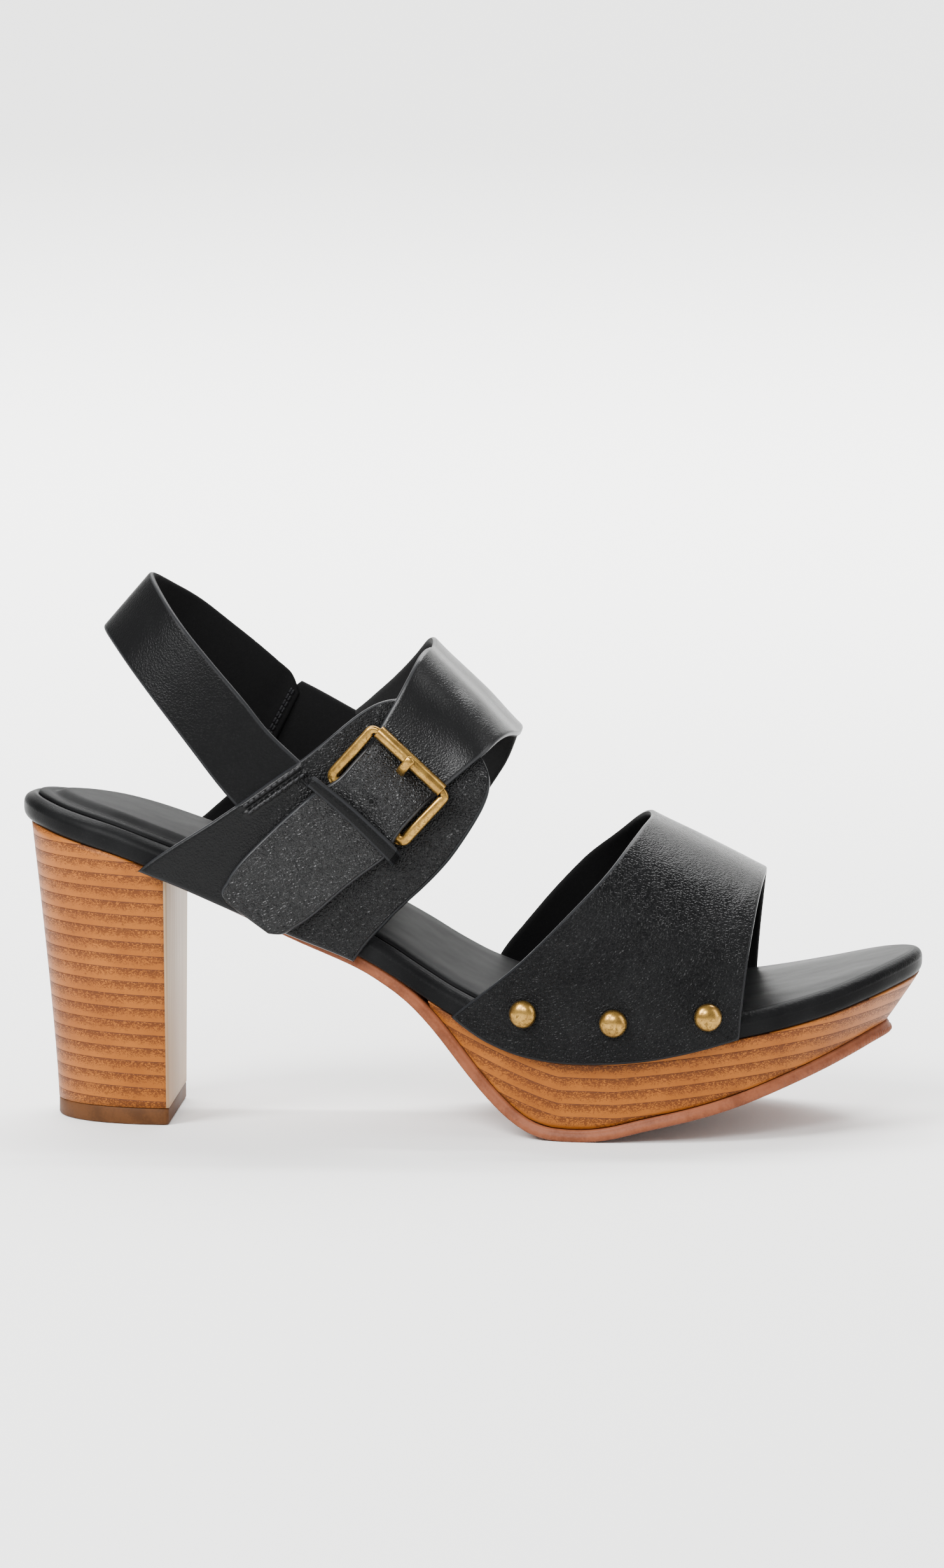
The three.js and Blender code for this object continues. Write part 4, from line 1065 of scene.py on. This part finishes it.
# A flat bar carried along the curve through the rows, narrowed at both ends
def makeProng():
    t = np.linspace(0, 1, 60)
    places = np.linspace(0, 1, len(prongRows))
    along, out = (curve(places, [row[i] for row in prongRows])(t) for i in (0, 1))
    at = np.column_stack([0 * t, along, out])
    ahead = unit(np.gradient(at, axis=0))
    side = np.tile([1.0, 0, 0], (len(t), 1))
    taper = np.sqrt(1 - smooth(0.95, 1.0, t) * 0.9) * np.sqrt(1 - smooth(0.05, 0.0, t) * 0.9)
    rings = sweep(at, side, np.cross(side, ahead), buckle["prong"] * taper, buckle["prongDepth"] * taper, 3.2)
    index = np.arange(rings.shape[0] * rings.shape[1]).reshape(rings.shape[:2])
    ends = np.stack([np.arange(10), 19 - np.arange(10)], 1)
    faces = np.concatenate([gridFaces(index, True), gridFaces(ends)[:, ::-1], gridFaces(ends + index[-1, 0])])
    meshPiece("buckleProng", onBuckle(rings), faces, brass, ["buckle_prong"])


makeFrame()
makeRoller()
makeProng()

print("studs and stitches")
stud = {"diameter": 7.6, "height": 3.0, "places": [(0.57, 0.071), (0.67, 0.078), (0.773, 0.102)]}


# Axes on the last at (share, turn): ahead, up the strap, and out
def lastAxes(share, turn, lift):
    point = lastPoint(share, turn, lift)
    ahead = unit(lastPoint(share + 0.002, turn, lift) - point)
    up = lastPoint(share, turn + 0.005, lift) - point
    out = unit(np.cross(ahead, up))
    return point, ahead, np.cross(out, ahead), out


# A dome turned about its own axis: radius R cos(a), height h sin(a)^0.9, with a short straight foot
def makeStuds():
    a = np.linspace(0, math.pi / 2, 16)
    radius = np.concatenate([[0, 2.4, 3.5], stud["diameter"] / 2 * np.cos(a) ** 0.9])
    height = np.concatenate([[0, 0, 0.05], 0.35 + (stud["height"] - 0.35) * np.sin(a)])
    turn = np.linspace(0, 2 * math.pi, 40, endpoint=False)
    for side in ("outer", "inner"):
        for number, (share, at) in enumerate(stud["places"], 1):
            flat = at if side == "outer" else 2 - at
            point, ahead, up, out = lastAxes(share, flat, layerLift + 0.1)
            rings = (
                point
                + ahead * (radius[:, None] * np.cos(turn))[..., None]
                + up * (radius[:, None] * np.sin(turn))[..., None]
                + out * (height[:, None] + 0 * turn)[..., None]
            )
            index = np.arange(rings.shape[0] * rings.shape[1]).reshape(rings.shape[:2])
            name = f"stud{side.title()}{number}"
            piece = meshPiece(name, rings, gridFaces(index, True), brass, [f"stud_{side}_{number}"])
            weldSeams(piece)


makeStuds()


# Point of a quarter over a place of the side view: the turn is found by halving until the height fits
def quarterPoint(x, z, low, high, lift):
    share = np.asarray(x) / shoe["length"]
    low, high = np.full_like(share, low), np.full_like(share, high)
    for _ in range(30):
        between = (low + high) / 2
        above = lastPoint(share, between, lift)[..., 2] > z
        low, high = np.where(above, low, between), np.where(above, between, high)
    return lastPoint(share, low, lift)


# One row of stitches along a line of points, on leather that faces the way given at each. A stitch is a capsule:
# rings at -h + r(1 - cos) .. h - r(1 - cos) with radius r sin, a little flattened on the leather
def stitchRow(name, line, facing, material):
    travel = np.concatenate([[0], np.cumsum(np.linalg.norm(np.diff(line, axis=0), axis=1))])

    def along(values, at):
        return np.stack([np.interp(at, travel, values[:, i]) for i in range(3)], -1)

    cap = np.linspace(0, math.pi / 2, 4)
    half, radius = seam["stitch"] * 0.42, seam["thread"] / 2
    offsets = np.concatenate([-half + radius * (1 - np.cos(cap)), half - radius * (1 - np.cos(cap[::-1]))])
    size = np.concatenate([radius * np.sin(cap), radius * np.sin(cap[::-1])])
    turn = np.arange(8) * math.pi / 4
    points, faces = [], []
    for at in np.arange(seam["stitch"] / 2, travel[-1], seam["stitch"]):
        axis = unit(along(line, at + 0.4) - along(line, at - 0.4))
        out = along(facing, at)
        out = unit(out - axis * np.dot(out, axis))
        up = np.cross(out, axis)
        across = np.cos(turn)[:, None] * up + np.sin(turn)[:, None] * out * 0.8
        ring = along(line, at) + offsets[:, None, None] * axis + size[:, None, None] * across
        index = len(points) * ring[..., 0].size + np.arange(ring[..., 0].size).reshape(ring.shape[:2])
        points.append(ring)
        faces.append(gridFaces(index, True))
    made = meshPiece(name, np.concatenate(points), np.concatenate(faces), material)
    weldSeams(made)


# The two rows that hold the sling to the outer quarter, on their ridges
def stitchOuterSeam():
    start, finish = np.array(seam["start"]), np.array(seam["finish"])
    ahead = unit(finish - start)
    side = np.array([-ahead[1], ahead[0]])
    places = start + np.linspace(0, 1, 30)[:, None] * (finish - start)
    for number, off in enumerate((-seam["apart"] / 2, seam["apart"] / 2)):
        line, above, further = (
            quarterPoint(*(places + side * off + step).T, 0.05, 0.45, layerLift)
            for step in (0 * side, 0.5 * side, 0.5 * ahead)
        )
        out = unit(np.cross(further - line, above - line))
        out = out * -np.sign(out[:, 1:2])
        stitchRow(f"outerStitches{number + 1}", line + out * seam["lift"], out, thread)


# The two rows across the sling's inner end, on its lining
def stitchSlingEnd():
    u, v = np.meshgrid(np.linspace(0.06, 0.94, 30), np.array(seam["slingRows"]), indexing="ij")
    points = slingSheet(u, v)
    towards = slingSheet(u, v + 0.004) - points
    up = slingSheet(u + 0.02, v) - points
    out = unit(np.cross(towards, up))
    out = out * -np.sign(out[..., 1:2])
    for row in range(2):
        line = points[:, row] + out[:, row] * (shoe["strap"] + seam["thread"] * 0.2)
        stitchRow(f"slingStitches{row + 1}", line, out[:, row], thread)


thread = plainBlack("waxedThread", (0.008, 0.008, 0.009, 1), 0.3)
stitchOuterSeam()
stitchSlingEnd()


# The spare hole: a raised lip round a near-black disc that fills the hole as painted shade, on the band's swell
def makeSpareHole():
    sheet = strapSheet(bandRows)
    u, v = np.meshgrid(spare["u"] + np.array([-0.01, 0, 0.01]), spare["v"] + np.array([-0.003, 0, 0.003]))
    points = sheet(u, v)
    points = points + gridNormals(points) * (bandRelief(u, v, points) + spare["lift"])[..., None]
    centre, out = points[1, 1], gridNormals(points)[1, 1]
    ahead = unit(points[2, 1] - points[0, 1])
    up = np.cross(out, ahead)
    turn = np.linspace(0, 2 * math.pi, 32, endpoint=False)
    tube = np.linspace(0, 2 * math.pi, 12, endpoint=False)
    reach = spare["radius"] + spare["ring"] * np.cos(tube)
    rise = spare["ring"] * np.sin(tube) * 0.8 - 0.12
    around = np.cos(turn)[:, None] * ahead + np.sin(turn)[:, None] * up
    ring = centre + around[None] * reach[:, None, None] + out * rise[:, None, None]
    index = np.arange(ring[..., 0].size).reshape(ring.shape[:2])
    faces = gridFaces(np.concatenate([index, index[:1]]), True)
    plain = np.zeros(ring.shape[:2])
    values = {"pebble": plain, "edge": plain + 5, "inside": plain}
    meshPiece("spareHoleLip", ring, faces, bandLeather, facts=values)
    # the near-black disc under the lip: painted shade filling the hole
    reach, rise = np.array([0, 0.7, 0.7, 0]) * spare["radius"], np.array([-0.7, -0.7, -0.1, -0.1])
    disc = centre + around[None] * reach[:, None, None] + out * rise[:, None, None]
    index = np.arange(disc[..., 0].size).reshape(disc.shape[:2])
    made = meshPiece("spareHoleShade", disc, gridFaces(index, True), holeShade)
    weldSeams(made)


# near-black matte material for the painted shade inside the spare hole
holeShade = plainBlack("holeShade", (0.0008, 0.0008, 0.0008, 1), 0.9)
makeSpareHole()

print("stage")


# A floor that curves up into a back wall, far behind the shoe
def makeStage():
    x = np.linspace(-6000, 6000, 3)
    turn = np.linspace(0, math.pi / 2, 24)
    radius, wall = 1500.0, 3500.0
    y = np.concatenate([[-4500, 0], wall + radius * np.sin(turn), [wall + radius]])
    z = np.concatenate([[0, 0], radius * (1 - np.cos(turn)), [9000]])
    points = np.stack(np.broadcast_arrays(x[None], y[:, None], z[:, None]), -1)
    index = np.arange(points.shape[0] * points.shape[1]).reshape(points.shape[:2])
    mesh = bpy.data.meshes.new("studioFloor")
    mesh.from_pydata((points.reshape(-1, 3) / 1000).tolist(), [], gridFaces(index).tolist())
    mesh.polygons.foreach_set("use_smooth", [True] * len(mesh.polygons))
    paint = Paint("paleFloor")
    mesh.materials.append(paint.finish(colour=(0.86, 0.86, 0.85, 1), roughness=0.9, gloss=0.2))
    floor = bpy.data.objects.new("studioFloor", mesh)
    bpy.context.scene.collection.objects.link(floor)


def softBox(name, place, target, width, height, power, colour=(1, 1, 1)):
    light = bpy.data.lights.new(name, "AREA")
    light.shape, light.size, light.size_y = "RECTANGLE", width, height
    light.energy, light.color = power, colour
    lamp = bpy.data.objects.new(name, light)
    lamp.location = place
    direction = np.array(target) - np.array(place)
    lamp.rotation_euler = Vector(direction).to_track_quat("-Z", "Y").to_euler()
    bpy.context.scene.collection.objects.link(lamp)


lighting = {"world": 0.6, "left": 50, "front": 20, "top": 60, "right": 12, "wall": 440}


def makeLight():
    world = bpy.data.worlds.new("studio")
    world.use_nodes = True
    world.node_tree.nodes["Background"].inputs["Color"].default_value = (1, 1, 1, 1)
    world.node_tree.nodes["Background"].inputs["Strength"].default_value = lighting["world"]
    bpy.context.scene.world = world
    softBox("leftBox", (-0.9, -0.9, 1.2), (0, 0, 0.08), 0.6, 0.9, lighting["left"])
    softBox("frontBox", (-0.2, -1.4, 1.0), (0, 0, 0.08), 0.5, 0.4, lighting["front"])
    softBox("topBox", (0.2, 1.4, 1.7), (0, 0.1, 0), 1.9, 1.1, lighting["top"])
    softBox("rightBox", (1.3, -0.4, 0.7), (0, 0, 0.08), 0.6, 1.2, lighting["right"])
    softBox("wallBox", (0, 1.2, 2.6), (0, 4.0, 0.4), 3.0, 1.0, lighting["wall"])


# The photograph's own viewpoint: 4.6 degrees round to the toe, a little above the strap
view = {
    "place": (328.24, -2563.35, 458.0),
    "target": (123.105, 0.0, 91.83),
    "focalPixels": 14950.0,  # focal length in pixels of an image that is long pixels high
    "long": 2464.0,
}


def makeCamera():
    camera = bpy.data.cameras.new("camera")
    camera.sensor_width = 36
    camera.lens = view["focalPixels"] / view["long"] * camera.sensor_width
    camera.clip_start, camera.clip_end = 0.1, 30
    eye = bpy.data.objects.new("camera", camera)
    place, target = np.array(view["place"]) / 1000 + home, np.array(view["target"]) / 1000 + home
    eye.location = place
    eye.rotation_mode = "QUATERNION"
    eye.rotation_quaternion = Vector(target - place).to_track_quat("-Z", "Y")
    bpy.context.scene.collection.objects.link(eye)
    bpy.context.scene.camera = eye


makeStage()
makeLight()
makeCamera()
